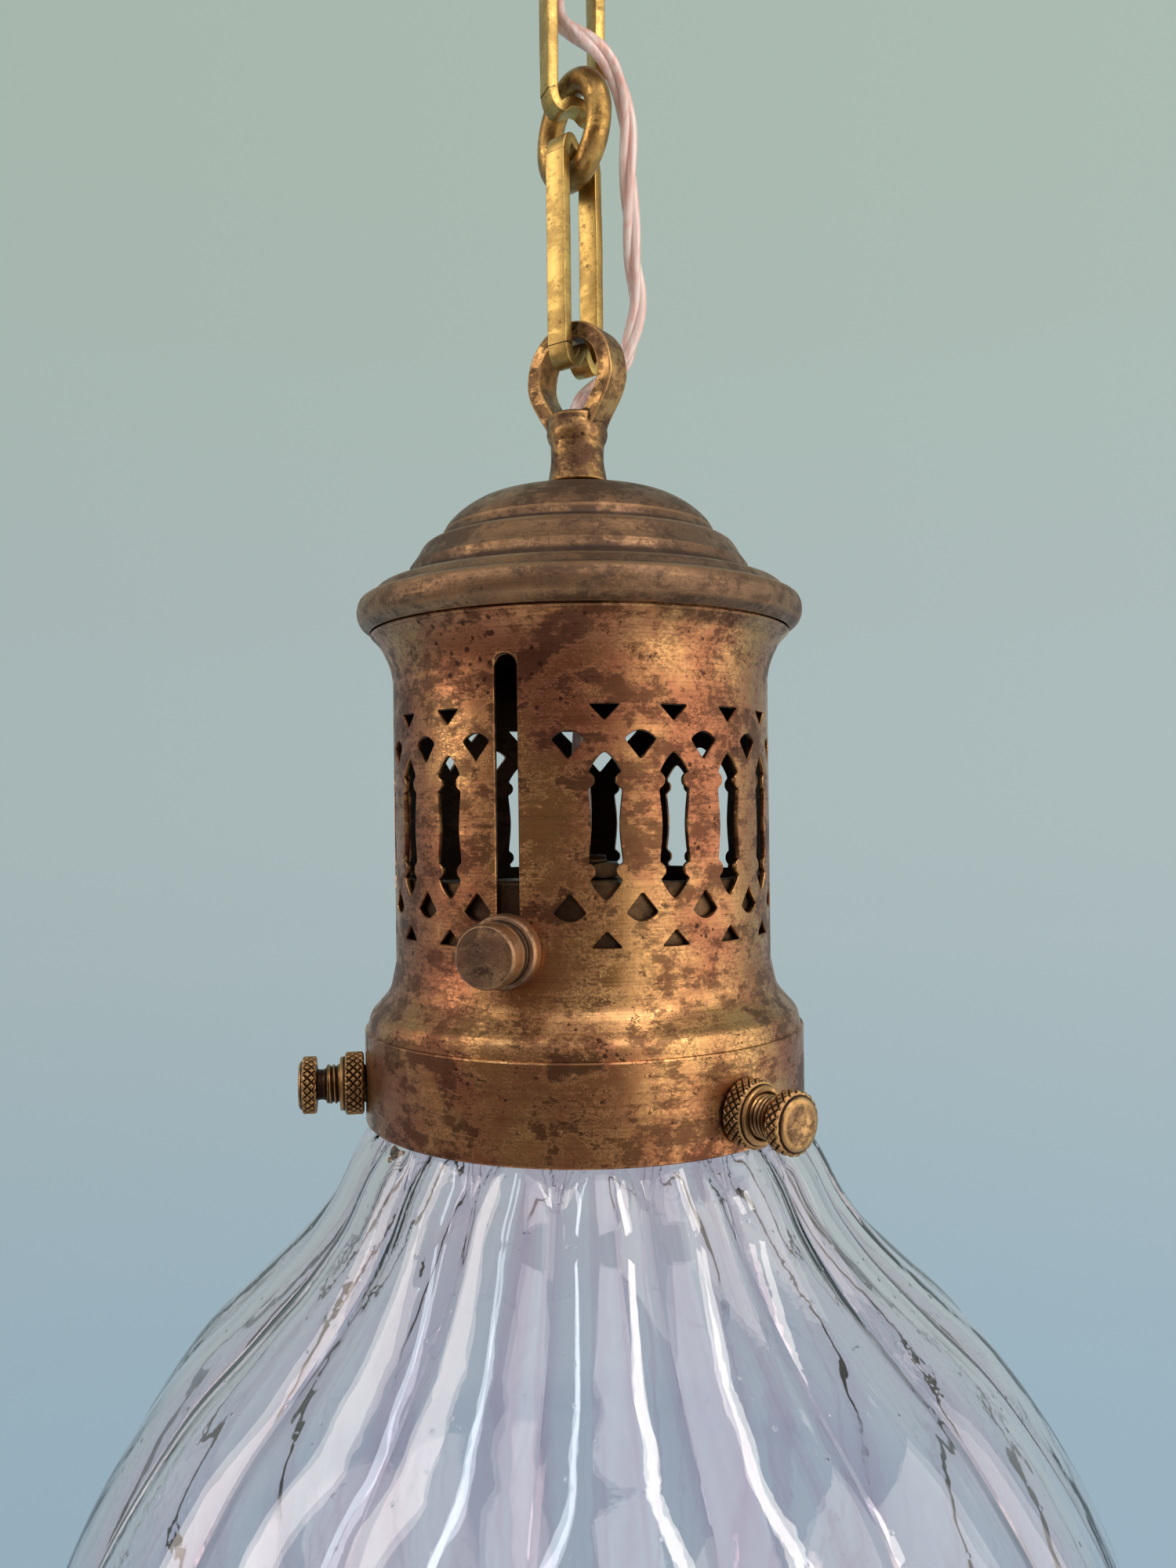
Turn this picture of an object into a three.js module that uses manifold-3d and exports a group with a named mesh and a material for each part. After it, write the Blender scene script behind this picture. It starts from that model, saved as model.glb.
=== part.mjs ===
// Glass pendant light
// A ribbed glass shade hangs by its lip in a pierced brass gallery, held by three thumb screws.
// The gallery hangs by a domed cap, an eye, two long pinched links and a round ring from a hook in
// a ceiling plate. A clear flex comes down beside the chain, through the eye's stem, to the lamp
// holder, whose carrier slides in the gallery and is locked by a stepped knob in a tall slot.
// Lengths are in millimetres. Z points up and is zero at the ceiling.
// Angles round the lamp are in degrees, counted from the slot, which faces minus Y, towards plus X.

import * as THREE from "three";
import { mergeVertices } from "three/addons/utils/BufferGeometryUtils.js";
import Module from "manifold-3d";

const wasm = await Module();
wasm.setup();

const degree = Math.PI / 180;

// Shared clearances
const seatGap = 0.3;
const runGap = 0.4;
const overrun = 4;

// Ceiling plate
const plateRadius = 34;
const plateEdge = 2.4;
const plateBossRadius = 9.5;
const plateDrop = 13;
const plateHookCover = 4.5;
const plateScrewCircle = 25;
const plateScrewAngle = 20;
const plateHoleGap = 0.6;
const plateSpot = 3.1;
// Outline from the boss to the edge, as shares of the slope out and of the boss's height up
const plateShares = [[-0.04, 0], [0, 0.1], [0.04, 0.42], [0.16, 0.66], [0.42, 0.82], [0.8, 0.9], [1, 1.05]];

// Wood screws of the ceiling plate
const woodScrewRadius = 2;
const woodScrewHeadRadius = 4;
const woodScrewHead = 2;
const woodScrewShares = [[0, 1], [0.6, 0.85], [1, 0.2], [1, 0]];

// Ceiling hook
const hookWireRadius = 2.5;
const hookBend = 8;
const hookSeatDrop = 33.15;
const hookAngle = 135.5;
const hookOpenAngle = 20;
const hookTurnShare = 1.35;

// Chain links, bent from flat strip with each end pushed in
const linkLength = 47;
const linkStripThickness = 2.2;
const linkStripWidth = 4.6;
const linkLegSpacing = 10.6;
const linkHookPinch = 3.4;
const linkRingPinch = 1.4;
const upperLinkAngle = 45.5;
const lowerLinkAngle = 72.5;
const linkHalfShares = [[0.7, 1], [0.86, 0.98], [0.96, 0.86], [1, 0.6], [0.95, 0.32]];

// Chain ring
const ringOuterRadius = 11.85;
const ringWireRadius = 2.6;
const ringAngle = -36.5;

// Hanging loop: an eye on a beaded stem, whose shank goes through the cap
const eyeOuterRadius = 10.5;
const eyeBar = 3.3;
const eyeWidth = 6;
const eyeEdge = 0.9;
const eyeAngle = -15.5;
// Right half of the eye's middle line, shares of its radius across and up, its neck in the stem first
const eyeHalfShares = [
  [0.42, -1.22], [0.52, -1.04], [0.66, -0.83], [0.8, -0.62], [0.95, -0.33], [1, 0], [0.87, 0.5], [0.5, 0.87],
];
const eyeSteps = 22;
const stemDrop = 21.965;
const stemBeadRadius = 6.2;
const stemShares = [
  [0, 0.97], [0.087, 0.93], [0.173, 0.885], [0.36, 0.885], [0.392, 0.94], [0.447, 1], [0.52, 0.985],
  [0.56, 0.955], [0.606, 0.96], [0.63, 0.85], [0.65, 0.6],
];
const shankRadius = 4.9;
const shankLength = 11;
const flexBore = 2.5;
const flexMouth = 3.2;
const flexMouthDepth = 2.5;

// Nut and washer under the cap's dome
const loopWasherRadius = 10;
const loopWasherThickness = 1.2;
const loopWasherDrop = 3;
const loopNutAcross = 15;
const loopNutThickness = 5;

// Cap, outline from the rim up as shares of its radius and height
const capRadius = 44.8;
const capHeight = 30.6;
const capWall = 1.2;
const capBeadShares = [[0.944, 0], [0.987, 0.054], [1, 0.131], [0.985, 0.2], [0.945, 0.225]];
const capLedgeShares = [[0.937, 0.237], [0.905, 0.285], [0.85, 0.305], [0.8, 0.323], [0.775, 0.33]];
const capStepShares = [[0.765, 0.42], [0.735, 0.481], [0.7, 0.562], [0.66, 0.582], [0.625, 0.596]];
const capDomeShares = [
  [0.612, 0.669], [0.585, 0.727], [0.53, 0.801], [0.45, 0.869], [0.35, 0.908], [0.25, 0.95], [0.156, 0.985],
];

// Gallery: flare, pierced tube, shoulder and band
const tubeRadius = 37.8;
const tubeLength = 55.5;
const galleryWall = 1;
const flareRadius = 42.2;
const flareDepth = 9.4;
const flareShares = [[0, 0], [0.114, 0.277], [0.318, 0.532], [0.59, 0.777]];
const spigotHeight = 3.2;
const spigotRadius = 40.9;
const bandRadius = 44.1;
const bandDepth = 18;
const shoulderDepth = 13;
const shoulderShares = [
  [1, 1], [0.937, 0.885], [0.794, 0.777], [0.508, 0.615], [0.206, 0.423], [0.08, 0.19], [0, 0],
];

// Piercings of the gallery, in rows mirrored about the middle of the windows
const windowCount = 17;
const windowFirstAngle = 26.8;
const windowPitchAngle = 19.63;
const windowDrop = 28.65;
const windowHalfHeight = 12.9;
const windowHalfWidth = 3;
const windowShares = [[0, 1], [0.88, 0.725], [0.62, 0.6], [1, 0.45]];
const triangleWidth = 5.45;
const triangleHeight = 2.8;
const triangleRow = 21.25;
const fanWidth = 5.85;
const fanHeight = 4.95;
const fanCrown = 1.45;
const fanRow = 16.65;
const slotWidth = 4.4;
const slotEndRise = 2.5;
const slotTopGap = 1.75;

// Lamp carrier and clamp knob
const sleeveHeight = 19.8;
const sleeveWall = 1.2;
const sleeveRise = 11.7;
const knobRise = 2.6;
const knobScrewRadius = 2;
const knobFlangeRadius = 6.65;
const knobFlange = 3.2;
const knobGrooveRadius = 5.2;
const knobGroove = 1.6;
const knobButtonRadius = 5.6;
const knobButton = 5;
const knobEdge = 0.7;
const clampNutRadius = 5;
const clampNutThickness = 3.5;
const spiderThickness = 2;
const spiderDrop = 1;
const spiderHubRadius = 11;
const spiderArmWidth = 9;
const spiderTab = 9;

// Lamp holder
const nippleRadius = 5;
const nippleBore = 3.2;
const nippleLength = 14;
const nippleRise = 4.7;
const nippleNutAcross = 14;
const nippleNutThickness = 3;
const holderRadius = 19.5;
const holderWall = 0.9;
const holderDomeHeight = 16;
const holderDomeShares = [[1, 0], [1, 0.45], [0.94, 0.66], [0.76, 0.86], [0.5, 1]];
const holderShellLength = 27;
const holderSpigot = 4;
const holderLip = 2;
const insertHeight = 9;
const insertBoss = 5;
const insertBossRadius = 9;
const insertSlotWidth = 3;
const insertSlotDepth = 2.5;
const lampShellRadius = 13.9;
const lampShellWall = 0.6;
const lampShellLength = 23;
const contactRadius = 3.6;
const contactThickness = 0.8;
const contactRivetRadius = 1.5;
const contactRivet = 3;

// Glass shade, crest outline from the neck down as shares of its spread and its depth
const glassLipRadius = 42.3;
const glassLip = 4;
const glassLipDrop = 3;
const glassNeckRadius = 39.8;
const glassNeck = 6;
const glassWall = 3.5;
const glassRadius = 106.3;
const glassDepth = 187;
const glassCrestShares = [
  [0.036, 0.024], [0.111, 0.064], [0.18, 0.112], [0.284, 0.16], [0.439, 0.214], [0.623, 0.278],
  [0.83, 0.39], [0.965, 0.51], [1, 0.636], [0.93, 0.76], [0.72, 0.89], [0.34, 1],
];
const fluteCount = 18;
const fluteDepth = 2.3;
const fluteArch = 9;
const fluteRamp = 5;
const fluteFirstAngle = 4;
// Places across one flute from the lobe's middle, as shares of the pitch, each with its height
const fluteShares = [[-0.27, 0.7], [0, 1], [0.27, 0.7], [0.5, 0]];

// Thumb screws and their lock nuts, three round the band
const screwAngles = [60, 180, 300];
const screwRise = 7.2;
const screwPointRadius = 3.4;
const screwPointTaper = 0.8;
const screwShankRadius = 3.85;
const screwShown = 2.7;
const screwNeckRadius = 3;
const screwNeck = 1.8;
const screwHeadRadius = 5.55;
const screwHead = 2.7;
const screwHeadEdge = 0.8;
const screwTeeth = 14;
const knurlDepth = 0.45;
const nutRadius = 6.1;
const nutThickness = 3.7;
const nutStepRadius = 5.25;
const nutStep = 0.95;
const nutTeeth = 16;

// Flex: one route from inside the stem up to the ceiling, a list of points chosen by hand
const flexRadius = 2;
const flexRoute = [
  [0, 0, -159.5], [0, 0, -148], [0, 0, -136.5], [0.1, 0.7, -133.3], [0.5, 3.2, -129.9],
  [1.3, 6.9, -127], [2.8, 10.3, -123.8], [4.8, 12.2, -121], [6.5, 12.7, -118.7], [8.3, 12.7, -113.5],
  [9.4, 12, -107], [9.2, 10.2, -99.2], [9.2, 8.2, -87.4], [9.5, 6.8, -76], [9.4, 5.7, -71.6],
  [9, 3.8, -67.4], [7.8, 1.2, -63.8], [6, -0.6, -61.4], [3.3, -1, -58.7], [0.3, -0.6, -55.8],
  [-2.5, 0.4, -52.5], [-3.9, 1.1, -47.8], [-4.8, 1.5, -42.5], [-8.3, -1, -34], [-11, -2.6, -23],
  [-14.4, -4.2, -13.5], [-16.4, -5.4, -8], [-16.6, -5.5, -4], [-16.6, -5.5, -0.3],
];
const flexJoinShares = [0, 0.345, 0.535, 0.77, 1];
const flexStretchSteps = [13, 5, 7, 7];

// Facets round each kind of revolved piece
const largeFacets = 34;
const middleFacets = 24;
const smallFacets = 16;
const pinFacets = 12;
const flexFacets = 8;

// A strip's two edges bear on a bent wire before its middle does
function edgeGap(innerRadius) {
  return seatGap + innerRadius - Math.sqrt(innerRadius ** 2 - (linkStripWidth / 2) ** 2);
}

// Heights worked out from the ceiling down, each piece hanging on the one above
const hookSeatZ = -hookSeatDrop;
const hookLinkSeat = linkHookPinch + linkStripThickness;
const ringLinkSeat = linkRingPinch + linkStripThickness;
const upperLinkTopZ = hookSeatZ + edgeGap(hookBend - hookWireRadius) + hookLinkSeat;
const upperLinkZ = upperLinkTopZ - linkLength / 2;
const upperLinkSeatZ = upperLinkTopZ - linkLength + ringLinkSeat;
const ringInnerRadius = ringOuterRadius - 2 * ringWireRadius;
const ringZ = upperLinkSeatZ + edgeGap(ringInnerRadius) - ringInnerRadius;
const lowerLinkTopZ = ringZ - ringInnerRadius + edgeGap(ringInnerRadius) + ringLinkSeat;
const lowerLinkZ = lowerLinkTopZ - linkLength / 2;
const lowerLinkSeatZ = lowerLinkTopZ - linkLength + hookLinkSeat;
const eyeInnerRadius = eyeOuterRadius - eyeBar;
const eyeZ = lowerLinkSeatZ + edgeGap(eyeInnerRadius) - eyeInnerRadius;
const stemBaseZ = eyeZ - stemDrop;
const shankEndZ = stemBaseZ - shankLength;
const capTopZ = stemBaseZ - seatGap;
const capRimZ = capTopZ - capHeight;
const flareTopZ = capRimZ - seatGap;
const tubeTopZ = flareTopZ - flareDepth;
const tubeEndZ = tubeTopZ - tubeLength;
const bandTopZ = tubeEndZ - shoulderDepth;
const bandEndZ = bandTopZ - bandDepth;
const windowZ = tubeTopZ - windowDrop;
const slotTopZ = tubeTopZ + slotTopGap;
const slotEndZ = tubeEndZ + slotEndRise;
const knobZ = slotEndZ + knobRise;
const sleeveTopZ = knobZ + sleeveRise;
const spiderTopZ = sleeveTopZ - spiderDrop;
const nippleTopZ = spiderTopZ + nippleRise;
const holderTopZ = spiderTopZ - spiderThickness - seatGap;
const holderJoinZ = holderTopZ - holderDomeHeight;
const holderEndZ = holderJoinZ - seatGap - holderShellLength;
const screwZ = bandEndZ + screwRise;
const glassTopZ = bandTopZ - glassLipDrop;
const glassNeckZ = glassTopZ - glassLip;
const glassBodyZ = glassNeckZ - glassNeck - seatGap;

// Materials
function metal(color, roughness) {
  return new THREE.MeshStandardMaterial({ color, roughness, metalness: 1 });
}
const agedBrass = metal(0x9a6c3c, 0.42);
const brightBrass = metal(0xb8964f, 0.36);
const innerBrass = metal(0x8c6b3a, 0.5);
const steel = metal(0x8e8a84, 0.45);
const porcelain = new THREE.MeshStandardMaterial({ color: 0xe9e4d8, roughness: 0.35 });
const clearGlass = new THREE.MeshStandardMaterial({
  color: 0xdfe4ee, roughness: 0.05, transparent: true, opacity: 0.35,
});
const clearFlex = new THREE.MeshStandardMaterial({ color: 0xd9b6a6, roughness: 0.3 });

// Solids: joins and cuts are made on closed meshes and turned back into geometry
function toSolid(geometry) {
  const bare = geometry.clone();
  bare.deleteAttribute("normal");
  bare.deleteAttribute("uv");
  const merged = mergeVertices(bare);
  const vertProperties = new Float32Array(merged.attributes.position.array);
  const triVerts = new Uint32Array(merged.index.array);
  return new wasm.Manifold(new wasm.Mesh({ numProp: 3, vertProperties, triVerts }));
}

function toGeometry(solid) {
  const mesh = solid.getMesh();
  const geometry = new THREE.BufferGeometry();
  geometry.setAttribute("position", new THREE.BufferAttribute(mesh.vertProperties, 3));
  geometry.setIndex(new THREE.BufferAttribute(mesh.triVerts, 1));
  geometry.computeVertexNormals();
  return geometry;
}

function cut(geometry, cutters) {
  const cutter = wasm.Manifold.union(cutters.map(toSolid));
  return toGeometry(toSolid(geometry).subtract(cutter));
}

function join(geometries) {
  return toGeometry(wasm.Manifold.union(geometries.map(toSolid)));
}

// A body turned about Z from points of radius and height, listed up the outside
function revolve(points, facets) {
  const profile = points.map(([radius, height]) => new THREE.Vector2(radius, height));
  const geometry = new THREE.LatheGeometry(profile, facets);
  geometry.rotateX(Math.PI / 2);
  return geometry;
}

// A ring or a hollow turned body, whose outline closes on itself
function revolveRing(points, facets) {
  return revolve([...points, points[0]], facets);
}

function tubeRing(outer, inner, low, high, facets) {
  return revolveRing([[inner, low], [outer, low], [outer, high], [inner, high]], facets);
}

function rod(radius, low, high, facets) {
  return revolve([[0, low], [radius, low], [radius, high], [0, high]], facets);
}

// The inside of a spun wall, moved in square to the outline by the wall's thickness
function offsetInside(points, wall) {
  return points.map(([radius, height], i) => {
    const before = points[Math.max(i - 1, 0)];
    const after = points[Math.min(i + 1, points.length - 1)];
    const along = new THREE.Vector2(after[0] - before[0], after[1] - before[1]).normalize();
    return [radius - wall * along.y, height + wall * along.x];
  });
}

// Every second point of a smooth outline, with both its ends
function thinOut(points) {
  return points.filter((point, i) => i % 2 === 0 || i === points.length - 1);
}

// Turns a shape drawn across and up into a cutter or boss that points outward at an angle
function pointOutward(geometry, angle, z) {
  geometry.rotateX(Math.PI / 2);
  geometry.rotateZ(angle * degree);
  geometry.translate(0, 0, z);
  return geometry;
}

function shapeFrom(points) {
  return new THREE.Shape(points.map(([x, y]) => new THREE.Vector2(x, y)));
}

function circlePoints(radius, sides) {
  const points = [];
  for (let i = 0; i < sides; i += 1) {
    const angle = (i * 2 * Math.PI) / sides;
    points.push([radius * Math.cos(angle), radius * Math.sin(angle)]);
  }
  return points;
}

function prism(points, low, high, holes = []) {
  const shape = shapeFrom(points);
  shape.holes = holes.map(shapeFrom);
  const geometry = new THREE.ExtrudeGeometry(shape, { depth: high - low, bevelEnabled: false });
  geometry.translate(0, 0, low);
  return geometry;
}

function hexagon(across) {
  return circlePoints(across / Math.sqrt(3), 6);
}

function knurlPoints(radius, teeth) {
  const points = [];
  for (let i = 0; i < teeth; i += 1) {
    for (const [part, reach] of [[0, radius], [0.5, radius - knurlDepth]]) {
      const angle = ((i + part) * 2 * Math.PI) / teeth;
      points.push([reach * Math.cos(angle), reach * Math.sin(angle)]);
    }
  }
  return points;
}

const light = new THREE.Group();
light.name = "glass_pendant_light";

function addPiece(name, geometry, material, parent = light) {
  const mesh = new THREE.Mesh(geometry, material);
  mesh.name = name;
  parent.add(mesh);
  return mesh;
}

// Ceiling plate: a turned disc with a boss, a blind hole for the hook and a hole for the flex
const plateScrewPlaces = [plateScrewAngle, plateScrewAngle + 180].map((angle) => [
  plateScrewCircle * Math.sin(angle * degree),
  -plateScrewCircle * Math.cos(angle * degree),
]);

function ceilingPlate() {
  const hookHole = hookWireRadius + seatGap;
  const boss = plateDrop - plateEdge;
  const slope = plateRadius - plateBossRadius;
  const body = revolve([
    [0, -plateHookCover], [hookHole, -plateHookCover], [hookHole, -plateDrop],
    ...plateShares.map(([out, up]) => [plateBossRadius + slope * out, boss * up - plateDrop]),
    [plateRadius, 0], [0, 0],
  ], middleFacets);
  const flexEnd = flexRoute.at(-1);
  const flexHole = rod(flexRadius + plateHoleGap, -plateDrop, overrun, smallFacets);
  flexHole.translate(flexEnd[0], flexEnd[1], 0);
  const screwHoles = plateScrewPlaces.map(([x, y]) => {
    const spot = woodScrewHeadRadius + seatGap;
    const hole = revolve([
      [0, -plateDrop], [spot, -plateDrop], [spot, -plateSpot], [woodScrewRadius + seatGap, -plateSpot],
      [woodScrewRadius + seatGap, overrun], [0, overrun],
    ], pinFacets);
    hole.translate(x, y, 0);
    return hole;
  });
  return cut(body, [flexHole, ...screwHoles]);
}

// A wood screw of the plate, its round head in the plate's spot face, cut off at the ceiling's face
function woodScrew() {
  const low = -plateSpot - seatGap;
  return revolve([
    ...woodScrewShares.map(([out, down]) => [woodScrewHeadRadius * out, low - woodScrewHead * down]),
    [woodScrewRadius, low], [woodScrewRadius, 0], [0, 0],
  ], pinFacets);
}

addPiece("ceiling_plate", ceilingPlate(), agedBrass);
plateScrewPlaces.forEach(([x, y], i) => {
  const screw = addPiece(`plate_screw_${i + 1}`, woodScrew(), agedBrass);
  screw.position.set(x, y, 0);
});

// Ceiling hook: a shank on the axis, bent out and round under itself
function ceilingHook() {
  const bendZ = hookSeatZ - hookWireRadius + hookBend;
  const topZ = -plateHookCover - seatGap;
  const points = [[0, topZ], [0, 0.5 * (topZ + bendZ + hookBend)], [0, bendZ + hookTurnShare * hookBend]];
  for (let angle = 130; angle <= 360 + hookOpenAngle; angle += 25) {
    points.push([hookBend * Math.cos(angle * degree), bendZ + hookBend * Math.sin(angle * degree)]);
  }
  const path = new THREE.CatmullRomCurve3(points.map(([x, z]) => new THREE.Vector3(x, 0, z)));
  const section = shapeFrom(circlePoints(hookWireRadius, flexFacets));
  return new THREE.ExtrudeGeometry(section, { steps: 18, extrudePath: path });
}

const hook = addPiece("ceiling_hook", ceilingHook(), agedBrass);
hook.rotation.z = hookAngle * degree;

// Chain links, drawn with the ring's end up: the middle line is one spline, and both faces follow it
function linkGeometry() {
  const halfLength = linkLength / 2 - linkStripThickness / 2;
  const halfLeg = linkLegSpacing / 2;
  const quarter = linkHalfShares.map(([up, out]) => [halfLeg * out, halfLength * up]);
  const ringNotch = [0, halfLength - linkRingPinch];
  const hookNotch = [0, linkHookPinch - halfLength];
  const right = [...quarter.map(([x, z]) => [x, -z]).reverse(), ...quarter];
  const left = right.map(([x, z]) => [-x, -z]);
  const knots = [...right, ringNotch, ...left, hookNotch];
  const middle = new THREE.CatmullRomCurve3(
    knots.map(([x, z]) => new THREE.Vector3(x, z, 0)), true, "centripetal",
  );
  const outer = [];
  const inner = [];
  const steps = 2 * knots.length;
  for (let i = 0; i < steps; i += 1) {
    const point = middle.getPoint(i / steps);
    const along = middle.getTangent(i / steps);
    const reach = linkStripThickness / 2;
    outer.push([point.x + reach * along.y, point.y - reach * along.x]);
    inner.push([point.x - reach * along.y, point.y + reach * along.x]);
  }
  const geometry = prism(outer, -linkStripWidth / 2, linkStripWidth / 2, [inner]);
  geometry.rotateX(Math.PI / 2);
  return geometry;
}

const upperLinkGeometry = linkGeometry();
upperLinkGeometry.rotateY(Math.PI);
const upperLink = addPiece("upper_link", upperLinkGeometry, brightBrass);
upperLink.rotation.z = upperLinkAngle * degree;
upperLink.position.z = upperLinkZ;
const lowerLink = addPiece("lower_link", linkGeometry(), brightBrass);
lowerLink.rotation.z = lowerLinkAngle * degree;
lowerLink.position.z = lowerLinkZ;

// Chain ring
function chainRing() {
  const middle = ringOuterRadius - ringWireRadius;
  const geometry = new THREE.TorusGeometry(middle, ringWireRadius, flexFacets, middleFacets);
  geometry.rotateX(Math.PI / 2);
  return geometry;
}

const ring = addPiece("chain_ring", chainRing(), agedBrass);
ring.rotation.z = ringAngle * degree;
ring.position.z = ringZ;

// Hanging loop: the eye, the beaded stem and the shank are one casting with a bore for the flex
function eyeGeometry() {
  const middle = eyeOuterRadius - eyeBar / 2;
  const half = [...eyeHalfShares, [0, 1]];
  const mirrored = eyeHalfShares.map(([out, up]) => [-out, up]).reverse();
  const path = new THREE.CatmullRomCurve3(
    [...half, ...mirrored].map(([out, up]) => new THREE.Vector3(middle * out, 0, middle * up)),
  );
  const wide = eyeWidth / 2;
  const thick = eyeBar / 2;
  const right = [[wide, thick - eyeEdge], [wide - eyeEdge, thick]];
  const above = [...right, ...right.map(([x, y]) => [-x, y]).reverse()];
  const section = shapeFrom([...above, ...above.map(([x, y]) => [-x, -y])]);
  const eye = new THREE.ExtrudeGeometry(section, { steps: eyeSteps, extrudePath: path });
  eye.rotateZ(eyeAngle * degree);
  eye.translate(0, 0, eyeZ);
  return eye;
}

function hangingLoop() {
  const stem = stemShares.map(([up, out]) => [stemBeadRadius * out, stemBaseZ + stemDrop * up]);
  const stemTop = stem.at(-1)[1];
  const body = revolve([
    [0, shankEndZ], [shankRadius, shankEndZ], [shankRadius, stemBaseZ], ...stem, [0, stemTop],
  ], smallFacets);
  const bore = revolve([
    [0, shankEndZ - overrun], [flexBore, shankEndZ - overrun], [flexBore, stemTop - flexMouthDepth],
    [flexMouth, stemTop], [flexMouth, eyeZ], [0, eyeZ],
  ], smallFacets);
  return cut(join([eyeGeometry(), body]), [bore]);
}

addPiece("hanging_loop", hangingLoop(), agedBrass);

// Nut and washer that clamp the shank to the cap
const loopWasherTopZ = capTopZ - loopWasherDrop;
const loopNutTopZ = loopWasherTopZ - loopWasherThickness - seatGap;
const shankHole = shankRadius + seatGap;
addPiece("loop_washer", tubeRing(
  loopWasherRadius, shankHole, loopWasherTopZ - loopWasherThickness, loopWasherTopZ, middleFacets,
), steel);
addPiece("loop_nut", prism(
  hexagon(loopNutAcross), loopNutTopZ - loopNutThickness, loopNutTopZ,
  [circlePoints(shankHole, smallFacets)],
), innerBrass);

// Cap: a spun dome with a step, a ledge and a rolled rim
function capGeometry() {
  const shares = [...capBeadShares, ...capLedgeShares, ...capStepShares, ...capDomeShares];
  const outside = shares.map(([out, up]) => [capRadius * out, capRimZ + capHeight * up]);
  outside.push([shankHole, capTopZ]);
  const inside = thinOut(offsetInside(outside, capWall)).reverse();
  return revolveRing([...outside, ...inside], largeFacets);
}

addPiece("cap", capGeometry(), agedBrass);

// Gallery: one spun tube, then pierced
function galleryWallPoints() {
  const shoulder = shoulderShares.map(([out, down]) => [
    tubeRadius + (bandRadius - tubeRadius) * out, tubeEndZ - shoulderDepth * down,
  ]);
  const flare = flareShares.map(([out, up]) => [
    tubeRadius + (flareRadius - tubeRadius) * out, tubeTopZ + flareDepth * up,
  ]);
  const spun = [[bandRadius, bandEndZ], ...shoulder, ...flare];
  const spigotTopZ = flareTopZ + spigotHeight;
  const spigotInner = spigotRadius - galleryWall;
  const top = [
    [flareRadius, flareTopZ], [spigotRadius, flareTopZ], [spigotRadius, spigotTopZ],
    [spigotInner, spigotTopZ], [spigotInner, flareTopZ - galleryWall / 2],
  ];
  return [...spun, ...top, ...offsetInside(spun, galleryWall).reverse()];
}

function piercing(points, angle, z) {
  const inside = tubeRadius - galleryWall - overrun;
  return pointOutward(prism(points, inside, tubeRadius + overrun), angle, z);
}

function windowPoints() {
  const right = windowShares.map(([out, up]) => [windowHalfWidth * out, windowHalfHeight * up]);
  const lowerRight = right.map(([x, z]) => [x, -z]).reverse();
  const down = [...right, ...lowerRight];
  const left = down.slice(1, -1).reverse().map(([x, z]) => [-x, z]);
  return [...down, ...left].reverse();
}

function trianglePoints(side) {
  const points = [
    [-triangleWidth / 2, triangleRow], [0, triangleRow - triangleHeight], [triangleWidth / 2, triangleRow],
  ];
  return side > 0 ? points : points.map(([x, z]) => [x, -z]).reverse();
}

// A fan has a point, two straight sides and a crown bent to an arc
function fanPoints(side) {
  const points = [[0, fanRow - fanHeight]];
  const crownSteps = 2;
  for (let i = 0; i <= crownSteps; i += 1) {
    const across = 1 - (2 * i) / crownSteps;
    points.push([(fanWidth / 2) * across, fanRow - fanCrown * across * across]);
  }
  return side > 0 ? points : points.map(([x, z]) => [x, -z]).reverse();
}

function slotPoints() {
  const half = slotWidth / 2;
  const shape = new THREE.Shape();
  shape.absarc(0, slotTopZ - half, half, 0, Math.PI);
  shape.absarc(0, slotEndZ + half, half, Math.PI, 2 * Math.PI);
  return shape.getPoints(4).map((point) => [point.x, point.y]);
}

function galleryGeometry() {
  const spun = revolveRing(galleryWallPoints(), largeFacets);
  const cutters = [piercing(slotPoints(), 0, 0)];
  for (let i = 0; i < windowCount; i += 1) {
    const angle = windowFirstAngle + windowPitchAngle * i;
    cutters.push(piercing(windowPoints(), angle, windowZ));
    cutters.push(piercing(trianglePoints(1), angle, windowZ), piercing(trianglePoints(-1), angle, windowZ));
  }
  for (let i = 0; i <= windowCount; i += 1) {
    const angle = windowFirstAngle + windowPitchAngle * (i - 0.5);
    cutters.push(piercing(fanPoints(1), angle, windowZ), piercing(fanPoints(-1), angle, windowZ));
  }
  for (const angle of screwAngles) {
    const inside = bandRadius - galleryWall - overrun;
    const hole = rod(screwShankRadius + seatGap, inside, bandRadius + overrun, pinFacets);
    cutters.push(pointOutward(hole, angle, screwZ));
  }
  return cut(spun, cutters);
}

addPiece("gallery", galleryGeometry(), agedBrass);

// Glass shade: rings of points, each pulled in between the lobes of the flutes
function glassRings() {
  const lipInside = glassNeckRadius - glassWall;
  const spread = glassRadius - glassNeckRadius;
  const plain = [
    [lipInside, glassTopZ], [glassLipRadius - seatGap, glassTopZ], [glassLipRadius, glassTopZ - seatGap],
    [glassLipRadius, glassNeckZ], [glassNeckRadius, glassNeckZ - seatGap], [glassNeckRadius, glassBodyZ],
  ].map(([radius, z]) => ({ radius, z, flutes: 0 }));
  const crest = glassCrestShares.map(([out, down]) => [
    glassNeckRadius + spread * out, glassBodyZ - glassDepth * down,
  ]);
  const outside = crest.map(([radius, z]) => ({ radius, z, flutes: 1 }));
  const inside = thinOut(offsetInside([...crest].reverse(), glassWall))
    .map(([radius, z]) => ({ radius, z, flutes: 0.5 }));
  return [...plain, ...outside, ...inside, { radius: lipInside, z: glassBodyZ, flutes: 0 }];
}

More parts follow.
